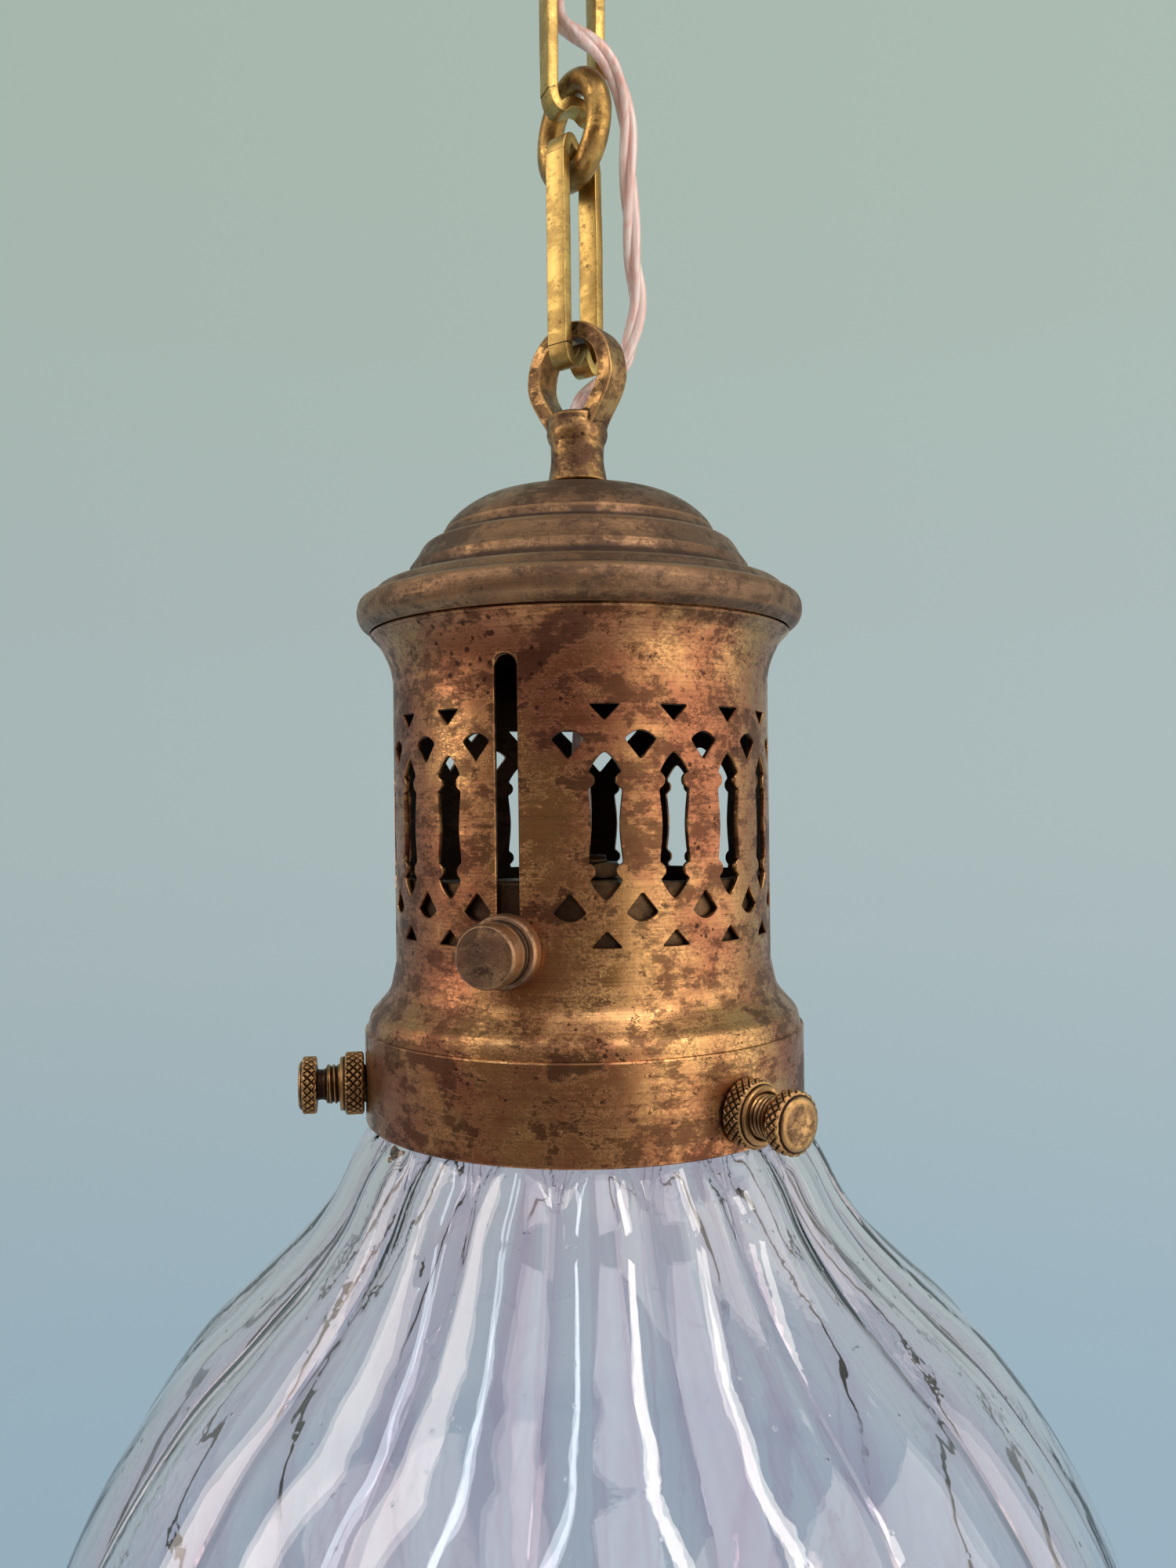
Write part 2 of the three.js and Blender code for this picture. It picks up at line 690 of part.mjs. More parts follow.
// How far a point of the flutes stands out, from 0 between them to 1 on a lobe below its arch
function lobeHeight(share, height, z) {
  const archZ = glassBodyZ - fluteArch * (2 * share) ** 2;
  return height * THREE.MathUtils.smoothstep(archZ - z, 0, fluteRamp);
}

function glassGeometry() {
  const rings = glassRings();
  const around = fluteCount * fluteShares.length;
  const positions = [];
  for (const ring of rings) {
    for (let i = 0; i < around; i += 1) {
      const [share, height] = fluteShares[i % fluteShares.length];
      const flute = Math.floor(i / fluteShares.length) + share;
      const angle = (fluteFirstAngle + (360 / fluteCount) * flute) * degree;
      const depth = ring.flutes * fluteDepth * (1 - lobeHeight(share, height, ring.z));
      const radius = ring.radius - depth;
      positions.push(radius * Math.sin(angle), -radius * Math.cos(angle), ring.z);
    }
  }
  const index = [];
  for (let r = 0; r < rings.length; r += 1) {
    const next = (r + 1) % rings.length;
    for (let i = 0; i < around; i += 1) {
      const j = (i + 1) % around;
      const [a, b, c, d] = [r * around + i, r * around + j, next * around + j, next * around + i];
      index.push(a, c, b, a, d, c);
    }
  }
  const geometry = new THREE.BufferGeometry();
  geometry.setAttribute("position", new THREE.Float32BufferAttribute(positions, 3));
  geometry.setIndex(index);
  geometry.computeVertexNormals();
  return geometry;
}

addPiece("glass_shade", glassGeometry(), clearGlass);

// Thumb screw, drawn along Z from its point to its head, with the band's radius as its scale
const nutInner = bandRadius + seatGap;
const nutOuter = nutInner + nutThickness + nutStep;

function thumbScrew() {
  const tip = glassNeckRadius + seatGap;
  const shank = glassLipRadius + runGap;
  const neck = nutOuter + screwShown;
  const head = neck + screwNeck;
  const face = head + screwHead;
  const crown = screwHeadRadius - 2 * knurlDepth;
  const body = revolve([
    [0, tip], [screwPointRadius - screwPointTaper, tip], [screwPointRadius, tip + screwPointTaper],
    [screwPointRadius, shank], [screwShankRadius, shank], [screwShankRadius, neck],
    [screwNeckRadius, neck], [screwNeckRadius, head + screwHeadEdge], [crown, head + screwHeadEdge],
    [crown, face], [crown - screwHeadEdge, face + screwHeadEdge], [0, face + screwHeadEdge],
  ], pinFacets);
  return join([body, prism(knurlPoints(screwHeadRadius, screwTeeth), head, face)]);
}

function lockNut() {
  const bore = circlePoints(screwShankRadius + seatGap, pinFacets);
  const knurl = prism(knurlPoints(nutRadius, nutTeeth), nutInner, nutInner + nutThickness, [bore]);
  const step = prism(circlePoints(nutStepRadius, pinFacets), nutOuter - 2 * nutStep, nutOuter, [bore]);
  return join([knurl, step]);
}

screwAngles.forEach((angle, i) => {
  const station = new THREE.Group();
  station.rotation.z = angle * degree;
  station.position.z = screwZ;
  const screw = addPiece(`thumb_screw_${i + 1}`, thumbScrew(), agedBrass, station);
  const nut = addPiece(`lock_nut_${i + 1}`, lockNut(), agedBrass, station);
  screw.rotation.x = Math.PI / 2;
  nut.rotation.x = Math.PI / 2;
  light.add(station);
});

// Lamp carrier: a sleeve that slides in the tube, with a nut for the knob and a three armed spider
const sleeveRadius = tubeRadius - galleryWall - runGap;
const sleeveInner = sleeveRadius - sleeveWall;
const clampNutFace = sleeveInner - seatGap - clampNutRadius ** 2 / (2 * sleeveInner);

function sleeveGeometry() {
  const wall = tubeRing(sleeveRadius, sleeveInner, sleeveTopZ - sleeveHeight, sleeveTopZ, largeFacets);
  const hole = rod(knobScrewRadius + seatGap, sleeveInner - overrun, sleeveRadius + overrun, pinFacets);
  return cut(wall, [pointOutward(hole, 0, knobZ)]);
}

function spiderGeometry() {
  const reach = sleeveInner - seatGap;
  const low = spiderTopZ - spiderThickness;
  const pieces = [prism(circlePoints(spiderHubRadius, middleFacets), low, spiderTopZ)];
  const half = spiderArmWidth / 2;
  for (const angle of screwAngles) {
    const arm = prism([[-half, -reach], [half, -reach], [half, 0], [-half, 0]], low, spiderTopZ);
    const inner = -reach + 2 * spiderThickness;
    const tabOutline = [[-half, -reach], [half, -reach], [half, inner], [-half, inner]];
    const tab = prism(tabOutline, low - spiderTab, low + seatGap);
    const turn = new THREE.Matrix4().makeRotationZ(angle * degree);
    pieces.push(arm.applyMatrix4(turn), tab.applyMatrix4(turn));
  }
  const bounds = toSolid(rod(reach, low - spiderTab, spiderTopZ, largeFacets));
  const whole = toSolid(join(pieces)).intersect(bounds);
  const hole = rod(nippleRadius + seatGap, low - overrun, spiderTopZ + overrun, pinFacets);
  return cut(toGeometry(whole), [hole]);
}

addPiece("carrier_sleeve", sleeveGeometry(), innerBrass);
addPiece("carrier_spider", spiderGeometry(), innerBrass);

// The knob and the nut behind it, on the slot's side
function clampKnob() {
  const flange = tubeRadius + seatGap;
  const groove = flange + knobFlange;
  const button = groove + knobGroove;
  const face = button + knobButton;
  return revolve([
    [0, clampNutFace - clampNutThickness], [knobScrewRadius, clampNutFace - clampNutThickness],
    [knobScrewRadius, flange], [knobFlangeRadius, flange], [knobFlangeRadius, groove - knobEdge],
    [knobFlangeRadius - knobEdge, groove], [knobGrooveRadius, groove], [knobGrooveRadius, button],
    [knobButtonRadius, button], [knobButtonRadius, face - knobEdge], [knobButtonRadius - knobEdge, face],
    [0, face],
  ], smallFacets + 2);
}

const knob = addPiece("clamp_knob", clampKnob(), agedBrass);
knob.rotation.x = Math.PI / 2;
knob.position.z = knobZ;

const clampNut = addPiece("clamp_nut", tubeRing(
  clampNutRadius, knobScrewRadius + seatGap, clampNutFace - clampNutThickness, clampNutFace, pinFacets,
), innerBrass);
clampNut.rotation.x = Math.PI / 2;
clampNut.position.z = knobZ;

// Lamp holder on its nipple
const nippleHole = nippleRadius + seatGap;
const nippleEndZ = nippleTopZ - nippleLength;
const insertTopZ = nippleEndZ - seatGap;
const insertEndZ = insertTopZ - insertHeight;

function holderDome() {
  const outside = holderDomeShares.map(([out, up]) => [
    holderRadius * out, holderJoinZ + holderDomeHeight * up,
  ]);
  outside.push([nippleHole, holderTopZ]);
  return revolveRing([...outside, ...offsetInside(outside, holderWall).reverse()], middleFacets);
}

function holderShell() {
  const topZ = holderJoinZ - seatGap;
  const spigot = holderRadius - holderWall - seatGap;
  const inner = spigot - holderWall;
  return revolveRing([
    [inner - holderLip, holderEndZ], [holderRadius - holderWall, holderEndZ],
    [holderRadius, holderEndZ + holderWall], [holderRadius, topZ], [spigot, topZ],
    [spigot, topZ + holderSpigot], [inner, topZ + holderSpigot], [inner, holderEndZ + holderWall],
    [inner - holderLip, holderEndZ + holderWall],
  ], middleFacets);
}

function porcelainInsert() {
  const reach = holderRadius - 2 * holderWall - 2 * seatGap;
  const body = revolve([
    [0, insertEndZ], [reach, insertEndZ], [reach, insertEndZ + insertHeight - insertBoss],
    [insertBossRadius, insertTopZ], [0, insertTopZ],
  ], middleFacets);
  const half = insertSlotWidth / 2;
  const outer = reach + overrun;
  const slot = prism(
    [[-half, -outer], [half, -outer], [half, outer], [-half, outer]],
    insertTopZ - insertSlotDepth, insertTopZ + overrun,
  );
  return cut(body, [slot]);
}

function lampShell() {
  const topZ = insertEndZ - seatGap;
  const inner = lampShellRadius - lampShellWall;
  return revolveRing([
    [inner, topZ - lampShellLength], [lampShellRadius, topZ - lampShellLength], [lampShellRadius, topZ],
    [2 * contactRadius, topZ], [2 * contactRadius, topZ - lampShellWall], [inner, topZ - lampShellWall],
  ], middleFacets);
}

function centreContact() {
  const topZ = insertEndZ - seatGap;
  return revolve([
    [0, topZ - contactRivet - contactThickness], [contactRadius, topZ - contactRivet - contactThickness],
    [contactRadius, topZ - contactRivet], [contactRivetRadius, topZ - contactRivet],
    [contactRivetRadius, topZ], [0, topZ],
  ], pinFacets);
}

addPiece("holder_nipple", tubeRing(nippleRadius, nippleBore, nippleEndZ, nippleTopZ, pinFacets), innerBrass);
addPiece("nipple_nut", prism(
  hexagon(nippleNutAcross), spiderTopZ + seatGap, spiderTopZ + seatGap + nippleNutThickness,
  [circlePoints(nippleHole, pinFacets)],
), innerBrass);
addPiece("holder_dome", holderDome(), innerBrass);
addPiece("holder_shell", holderShell(), innerBrass);
addPiece("porcelain_insert", porcelainInsert(), porcelain);
addPiece("lamp_shell", lampShell(), brightBrass);
addPiece("centre_contact", centreContact(), brightBrass);

// Flex: one curve cut into four stretches at the chain's joints, and a straight end inside
const flexCurve = new THREE.CatmullRomCurve3(flexRoute.map((point) => new THREE.Vector3(...point)));

class FlexStretch extends THREE.Curve {
  constructor(start, end) {
    super();
    const trim = seatGap / 2 / flexCurve.getLength();
    this.start = start === 0 ? 0 : start + trim;
    this.end = end === 1 ? 1 : end - trim;
  }

  getPoint(share) {
    return flexCurve.getPointAt(this.start + (this.end - this.start) * share);
  }
}

const flexSection = shapeFrom(circlePoints(flexRadius, flexFacets));
flexStretchSteps.forEach((steps, i) => {
  const path = new FlexStretch(flexJoinShares[i], flexJoinShares[i + 1]);
  const stretch = new THREE.ExtrudeGeometry(flexSection, { steps, extrudePath: path });
  addPiece(`supply_cord_${i + 1}`, stretch, clearFlex);
});

const flexStartZ = flexRoute[0][2];
addPiece("inner_flex", rod(flexRadius, nippleTopZ + seatGap, flexStartZ - seatGap, flexFacets), clearFlex);

export default light;
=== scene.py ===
"""Scene for the glass pendant light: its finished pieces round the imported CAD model.

Lengths are in millimetres until they go into a mesh, which is in metres. Angles round the lamp
are in degrees from the slot, which faces minus Y, towards plus X, as they are in the CAD source.
"""

import math

import bmesh
import bpy
from mathutils import Matrix, Vector, noise


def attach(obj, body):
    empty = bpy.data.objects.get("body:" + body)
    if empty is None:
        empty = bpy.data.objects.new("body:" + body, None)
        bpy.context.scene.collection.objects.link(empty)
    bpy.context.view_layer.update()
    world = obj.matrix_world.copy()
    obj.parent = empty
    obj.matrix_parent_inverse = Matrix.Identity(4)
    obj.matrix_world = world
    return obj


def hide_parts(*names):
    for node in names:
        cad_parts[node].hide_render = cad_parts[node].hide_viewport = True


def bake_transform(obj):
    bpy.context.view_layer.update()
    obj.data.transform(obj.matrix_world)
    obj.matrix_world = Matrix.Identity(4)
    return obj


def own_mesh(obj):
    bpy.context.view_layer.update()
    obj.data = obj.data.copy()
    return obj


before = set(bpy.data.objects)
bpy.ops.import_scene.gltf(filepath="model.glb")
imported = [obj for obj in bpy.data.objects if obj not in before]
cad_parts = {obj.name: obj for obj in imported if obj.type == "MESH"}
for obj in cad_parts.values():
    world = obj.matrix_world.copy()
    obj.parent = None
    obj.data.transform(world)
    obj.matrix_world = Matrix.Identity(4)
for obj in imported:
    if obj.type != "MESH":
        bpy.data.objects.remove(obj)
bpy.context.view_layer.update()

MM = 0.001
TURN = 2 * math.pi


# ---------------------------------------------------------------- sizes shared with the CAD source

HOOK_SEAT_Z = -33.15
UPPER_LINK_Z = -50.2459
RING_Z = -76.0856
LOWER_LINK_Z = -101.9252
EYE_Z = -126.3479
STEM_BASE_Z = -148.3129
SHANK_END_Z = -159.3129
CAP_TOP_Z = -148.6129
CAP_RIM_Z = -179.2129
FLARE_TOP_Z = -179.5127
TUBE_TOP_Z = -188.9127
TUBE_END_Z = -244.4127
BAND_TOP_Z = -257.4127
BAND_END_Z = -275.4127
WINDOW_Z = -217.5627
SLOT_TOP_Z = -187.1627
SLOT_END_Z = -241.9127
KNOB_Z = -239.3127
SLEEVE_TOP_Z = -227.6127
SPIDER_TOP_Z = -228.6127
NIPPLE_TOP_Z = -223.9127
SCREW_Z = -268.2127
GLASS_TOP_Z = -260.4127
GLASS_NECK_Z = -264.4127
GLASS_BODY_Z = -270.7127
TUBE_RADIUS = 37.8
BAND_RADIUS = 44.1
WALL = 1.0
SCREW_ANGLES = (60, 180, 300)


# ---------------------------------------------------------------- camera

CAMERA_ANGLE = 20.5
CAMERA_AWAY = 249
CAMERA_Z = -215
CAMERA_ROLL = 0.7
FOCAL_SHARE = 1554 / 2000
SENSOR = 36


def place_camera():
    """A level camera, 249 mm from the lamp's axis, as the photograph was taken."""
    data = bpy.data.cameras.new("photo_camera")
    data.sensor_fit = "VERTICAL"
    data.sensor_height = SENSOR
    data.sensor_width = SENSOR
    data.lens = SENSOR * FOCAL_SHARE
    data.shift_x = 8 / 2000
    data.shift_y = 35 / 2000
    data.clip_start = 0.01
    data.clip_end = 30
    camera = bpy.data.objects.new("photo_camera", data)
    bpy.context.scene.collection.objects.link(camera)
    angle = math.radians(CAMERA_ANGLE)
    toward = Matrix.Rotation(angle, 4, "Z") @ Matrix.Rotation(math.pi / 2, 4, "X")
    roll = Matrix.Rotation(-math.radians(CAMERA_ROLL), 4, "Z")
    place = Matrix.Translation(Vector((
        CAMERA_AWAY * math.sin(angle), -CAMERA_AWAY * math.cos(angle), CAMERA_Z,
    )) * MM)
    camera.matrix_world = place @ toward @ roll
    bpy.context.scene.camera = camera


place_camera()


# ---------------------------------------------------------------- curves and meshes

def smooth_run(points, steps=6):
    """Points along a smooth curve through the given ones, with both its ends."""
    points = [Vector(p) for p in points]
    run = []
    for i in range(len(points) - 1):
        before, here = points[max(i - 1, 0)], points[i]
        ahead, after = points[i + 1], points[min(i + 2, len(points) - 1)]
        for k in range(steps):
            t = k / steps
            run.append(0.5 * (
                2 * here + (ahead - before) * t
                + (2 * before - 5 * here + 4 * ahead - after) * t ** 2
                + (3 * here - before - 3 * ahead + after) * t ** 3
            ))
    return run + [points[-1]]


def outline(*runs, steps=6):
    """An outline of radius and height from runs: one of two points is straight, a longer one is smooth."""
    points = []
    for run in runs:
        points += smooth_run(run, steps if len(run) > 2 else 1)
    return [tuple(p) for p in points]


def moved_in(points, wall):
    """The outline again, moved square to itself by the wall's thickness, in reverse."""
    inside = []
    for i, (radius, height) in enumerate(points):
        r0, z0 = points[max(i - 1, 0)]
        r1, z1 = points[min(i + 1, len(points) - 1)]
        length = math.hypot(r1 - r0, z1 - z0) or 1
        inside.append((radius - wall * (z1 - z0) / length, height + wall * (r1 - r0) / length))
    return inside[::-1]


def turned(points, steps=128):
    """A closed body turned about the vertical axis from its outline of radius and height."""
    bm = bmesh.new()
    verts = [bm.verts.new((r * MM, 0, z * MM)) for r, z in points]
    edges = [
        bm.edges.new(pair) for pair in zip(verts, verts[1:] + verts[:1])
        if pair[0].co.x > 0 or pair[1].co.x > 0
    ]
    bmesh.ops.spin(
        bm, geom=verts + edges, cent=(0, 0, 0), axis=(0, 0, 1), dvec=(0, 0, 0),
        angle=TURN, steps=steps, use_merge=True, use_duplicate=False,
    )
    bmesh.ops.remove_doubles(bm, verts=bm.verts, dist=1e-6)
    bmesh.ops.recalc_face_normals(bm, faces=bm.faces)
    return bm


def prism(points, low, high, holes=()):
    """A flat outline drawn across and up, pushed from low to high along Z, with round holes."""
    bm = bmesh.new()
    loops = [points, *holes]
    edges = []
    for loop in loops:
        verts = [bm.verts.new((x * MM, y * MM, low * MM)) for x, y in loop]
        edges += [bm.edges.new(pair) for pair in zip(verts, verts[1:] + verts[:1])]
    if len(loops) == 1:
        bmesh.ops.contextual_create(bm, geom=edges)
    else:
        bmesh.ops.triangle_fill(bm, use_beauty=True, use_dissolve=False, edges=edges)
    pushed = bmesh.ops.extrude_face_region(bm, geom=bm.faces[:])
    up = [g for g in pushed["geom"] if isinstance(g, bmesh.types.BMVert)]
    bmesh.ops.translate(bm, verts=up, vec=(0, 0, (high - low) * MM))
    bmesh.ops.recalc_face_normals(bm, faces=bm.faces)
    return bm


def circle(radius, sides, first=0.0):
    return [
        (radius * math.cos(first + TURN * i / sides), radius * math.sin(first + TURN * i / sides))
        for i in range(sides)
    ]


def round_edges(bm, size, segments=2, angle=32):
    """Rounds every edge where two faces meet at more than the angle."""
    sharp = [
        e for e in bm.edges
        if len(e.link_faces) == 2 and e.calc_face_angle(0) > math.radians(angle)
    ]
    bmesh.ops.bevel(
        bm, geom=sharp, offset=size * MM, offset_type="OFFSET", segments=segments,
        profile=0.5, affect="EDGES", clamp_overlap=True, material=-1,
    )
    return bm


def point_outward(bm, angle=0.0, z=0.0):
    """Turns what was drawn along Z to point away from the lamp's axis at an angle and height."""
    place = (
        Matrix.Translation((0, 0, z * MM))
        @ Matrix.Rotation(math.radians(angle), 4, "Z")
        @ Matrix.Rotation(math.pi / 2, 4, "X")
    )
    bmesh.ops.transform(bm, matrix=place, verts=bm.verts)
    return bm


def turn_upright(bm, angle, z):
    """Stands what was drawn in the XZ plane at an angle round the axis and a height."""
    place = Matrix.Translation((0, 0, z * MM)) @ Matrix.Rotation(math.radians(angle), 4, "Z")
    bmesh.ops.transform(bm, matrix=place, verts=bm.verts)
    return bm


def mesh_of(bm, name="shape"):
    mesh = bpy.data.meshes.new(name)
    bm.to_mesh(mesh)
    bm.free()
    return mesh


def joined(parts):
    """Several bodies in one mesh."""
    whole = bmesh.new()
    for part in parts:
        mesh = mesh_of(part)
        whole.from_mesh(mesh)
        bpy.data.meshes.remove(mesh)
    return whole


def combined(base, tool, operation, solver="MANIFOLD"):
    """The base with the tool cut out of it or joined to it, as a new bmesh."""
    objects = []
    for bm, name in ((base, "base"), (tool, "tool")):
        item = bpy.data.objects.new(name, mesh_of(bm))
        bpy.context.scene.collection.objects.link(item)
        objects.append(item)
    modifier = objects[0].modifiers.new("combine", "BOOLEAN")
    modifier.operation = operation
    modifier.solver = solver
    modifier.object = objects[1]
    bpy.context.view_layer.update()
    graph = bpy.context.evaluated_depsgraph_get()
    result = bpy.data.meshes.new_from_object(objects[0].evaluated_get(graph))
    out = bmesh.new()
    out.from_mesh(result)
    bpy.data.meshes.remove(result)
    for item in objects:
        mesh = item.data
        bpy.data.objects.remove(item)
        bpy.data.meshes.remove(mesh)
    return out


def mark_creases(bm, longest=3.5, upright=2.0):
    """Notes where a point stands out or lies in a corner, for wear and dirt, and where it faces the lamp's
    axis, for painted shade.
    """
    crease = bm.verts.layers.float.new("crease")
    inside = bm.verts.layers.float.new("inside")
    bm.normal_update()
    for v in bm.verts:
        flat = Vector((v.co.x, v.co.y, 0))
        v[inside] = 1.0 if v.normal.dot(flat) < -0.4 * flat.length else 0.0
    plain = [v for v in bm.verts if abs(v.normal.x * v.co.x + v.normal.y * v.co.y) > upright * v.co.xy.length]
    for edge in bm.edges:
        turn = edge.calc_face_angle_signed(0) / 1.2
        if abs(turn) > 0.05:
            for v in edge.verts:
                v[crease] += turn
    for face in bm.faces:
        if face.calc_perimeter() > 3 * longest * MM:
            plain += face.verts
    for v in plain:
        v[crease] = 0


def add_piece(name, bm, body, slot, material, nodes, soft_angle=35, **marks):
    """Makes a bmesh a finished piece that rides on a body and stands for CAD nodes."""
    mark_creases(bm, **marks)
    mesh = mesh_of(bm, name)
    mesh.materials.append(material)
    piece = bpy.data.objects.new(name, mesh)
    bpy.context.scene.collection.objects.link(piece)
    mesh.polygons.foreach_set("use_smooth", [True] * len(mesh.polygons))
    mesh.set_sharp_from_angle(angle=math.radians(soft_angle))
    if body:
        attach(piece, body)
    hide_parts(*nodes)
    return piece


# ---------------------------------------------------------------- shader nodes

def new_node(tree, kind, inputs=None, **settings):
    """A shader node with its settings, and its inputs linked or set."""
    node = tree.nodes.new("ShaderNode" + kind)
    for name, value in settings.items():
        setattr(node, name, value)
    for key, value in (inputs or {}).items():
        if isinstance(value, bpy.types.NodeSocket):
            tree.links.new(value, node.inputs[key])
        else:
            node.inputs[key].default_value = value
    return node


def calc(tree, operation, *values):
    return new_node(tree, "Math", dict(enumerate(values)), operation=operation).outputs[0]


def eased(tree, value, low, high):
    """0 where the value is at low or past it, 1 at high, smooth between."""
    inputs = {"Value": value, "From Min": low, "From Max": high}
    return new_node(tree, "MapRange", inputs, interpolation_type="SMOOTHSTEP").outputs["Result"]


def mixed(tree, share, first, second, blend_type="MIX"):
    inputs = {0: share, 6: first, 7: second}
    return new_node(tree, "Mix", inputs, data_type="RGBA", blend_type=blend_type).outputs[2]


def noise_at(tree, place, scale, detail=2.0, roughness=0.5):
    inputs = {"Vector": place, "Scale": scale, "Detail": detail, "Roughness": roughness}
    return new_node(tree, "TexNoise", inputs).outputs["Fac"]


def stretched(tree, place, scale, turn=(0, 0, 0)):
    inputs = {"Vector": place, "Scale": scale, "Rotation": turn}
    return new_node(tree, "Mapping", inputs).outputs["Vector"]


def new_group(name, inputs, outputs):
    """An empty node group, with the sockets that give it its values and take its results."""
    tree = bpy.data.node_groups.new(name, "ShaderNodeTree")
    for title, kind, default in inputs:
        socket = tree.interface.new_socket(title, in_out="INPUT", socket_type="NodeSocket" + kind)
        socket.default_value = default
    for title, kind in outputs:
        tree.interface.new_socket(title, in_out="OUTPUT", socket_type="NodeSocket" + kind)
    given = tree.nodes.new("NodeGroupInput").outputs
    result = tree.nodes.new("NodeGroupOutput").inputs
    return tree, given, result


def aged_metal_group():
    """Old brass: blotches of patina, mottling, dark specks, spinning lines, scratches and worn edges, with
    painted shade on faces turned to the lamp's axis.
    """
    tree, given, result = new_group("aged_metal", [
        ("Fresh", "Color", (0.7, 0.5, 0.25, 1)), ("Aged", "Color", (0.4, 0.24, 0.13, 1)),
        ("Spots", "Color", (0.1, 0.06, 0.04, 1)), ("Aging", "Float", 0.5), ("Blotch Scale", "Float", 60),
        ("Mottling", "Float", 0.5), ("Specks", "Float", 0.6), ("Wear", "Float", 0.6),
        ("Grime", "Float", 0.6), ("Lines", "Float", 0.4), ("Scratches", "Float", 0.4),
        ("Gloss", "Float", 0.3), ("Dull", "Float", 0.5), ("Soot", "Float", 0.0),
    ], [("Color", "Color"), ("Roughness", "Float"), ("Height", "Float")])
    place = new_node(tree, "TexCoord").outputs["Object"]
    broad = noise_at(tree, place, given["Blotch Scale"], 10, 0.7)
    shift = calc(tree, "MULTIPLY_ADD", given["Aging"], 0.5, -0.25)
    aged = eased(tree, calc(tree, "ADD", broad, shift), 0.38, 0.62)
    colour = mixed(tree, aged, given["Fresh"], given["Aged"])

    level = stretched(tree, place, (1, 1, 1.7))
    crust = noise_at(tree, level, 85, 11, 0.8)
    crust = eased(tree, calc(tree, "MULTIPLY_ADD", aged, 0.04, crust), 0.5, 0.58)
    fine = noise_at(tree, level, 1250, 5, 0.72)
    clouds = eased(tree, noise_at(tree, place, 110, 4, 0.6), 0.36, 0.62)
    grain = calc(tree, "MULTIPLY", eased(tree, fine, 0.45, 0.6), calc(tree, "MULTIPLY_ADD", clouds, 0.6, 0.12))
    mottle = calc(tree, "MULTIPLY", calc(tree, "MAXIMUM", crust, grain), given["Mottling"])
    colour = mixed(tree, calc(tree, "MULTIPLY", mottle, 0.8), colour, given["Spots"])

    lines_place = stretched(tree, place, (14, 14, 3200))
    lines = noise_at(tree, lines_place, 1, 4, 0.75)
    line_share = calc(tree, "MULTIPLY", eased(tree, lines, 0.4, 0.68), given["Lines"])
    colour = mixed(tree, calc(tree, "MULTIPLY", line_share, 0.55), colour, given["Spots"])

    ragged = noise_at(tree, place, 900, 3, 0.6)
    cells = new_node(tree, "TexVoronoi", {"Vector": place, "Scale": 470, "Randomness": 1})
    gate = noise_at(tree, place, 60, 4, 0.65)
    dot_size = calc(tree, "MULTIPLY_ADD", eased(tree, gate, 0.42, 0.7), 0.34, -0.05)
    ragged = calc(tree, "MULTIPLY_ADD", ragged, 0.3, cells.outputs["Distance"])
    dots = eased(tree, calc(tree, "SUBTRACT", ragged, dot_size), 0.17, 0.09)
    stains = eased(tree, noise_at(tree, place, 210, 8, 0.78), 0.59, 0.66)
    specks = calc(tree, "MULTIPLY", calc(tree, "MAXIMUM", dots, stains), given["Specks"])
    colour = mixed(tree, specks, colour, given["Spots"])

    wander = noise_at(tree, stretched(tree, place, (130, 130, 210), (0.5, 0.3, 0.2)), 1, 3, 0.55)
    thread = eased(tree, calc(tree, "ABSOLUTE", calc(tree, "SUBTRACT", wander, 0.47)), 0.005, 0.0015)
    patches = eased(tree, noise_at(tree, place, 33, 2), 0.45, 0.55)
    scratches = calc(tree, "MULTIPLY", calc(tree, "MULTIPLY", thread, patches), given["Scratches"])
    colour = mixed(tree, scratches, colour, given["Spots"])

    crease = new_node(tree, "Attribute", attribute_name="crease").outputs["Fac"]
    worn_noise = calc(tree, "MULTIPLY_ADD", noise_at(tree, place, 420, 4, 0.6), 1.1, 0.15)
    worn = calc(tree, "MULTIPLY", eased(tree, crease, 0.12, 0.5), worn_noise)
    worn = calc(tree, "MULTIPLY", worn, given["Wear"])
    colour = mixed(tree, worn, colour, given["Fresh"])
    grime_and_inner_shade = calc(tree, "MULTIPLY", eased(tree, crease, -0.08, -0.4), given["Grime"])
    colour = mixed(tree, grime_and_inner_shade, colour, given["Spots"])

    # Faces turned towards the lamp's axis are painted nearly black: painted shade inside the hollow parts.
    inside = new_node(tree, "Attribute", attribute_name="inside").outputs["Fac"]
    painted_inner_shade = calc(tree, "MULTIPLY", inside, given["Soot"])
    colour = mixed(tree, painted_inner_shade, colour, (0.012, 0.009, 0.008, 1))
    # From here the mask holds both the grime in the creases and the painted inner shade; both make the metal
    # duller.
    grime_and_inner_shade = calc(tree, "MAXIMUM", grime_and_inner_shade, painted_inner_shade)

    dull_share = calc(tree, "MAXIMUM", calc(tree, "MULTIPLY", aged, 0.5), calc(tree, "MAXIMUM", specks, grime_and_inner_shade))
    dull_share = calc(tree, "MULTIPLY", dull_share, calc(tree, "SUBTRACT", 1, worn))
    spread = calc(tree, "SUBTRACT", given["Dull"], given["Gloss"])
    rough = calc(tree, "MULTIPLY_ADD", dull_share, spread, given["Gloss"])
    rough = calc(tree, "MULTIPLY_ADD", mottle, 0.16, rough)
    relief = calc(tree, "MULTIPLY_ADD", line_share, 0.35, calc(tree, "MULTIPLY", mottle, 0.5))
    relief = calc(tree, "MULTIPLY_ADD", calc(tree, "MAXIMUM", specks, scratches), -0.6, relief)
    for title, value in (("Color", colour), ("Roughness", rough), ("Height", relief)):
        tree.links.new(value, result[title])
    return tree


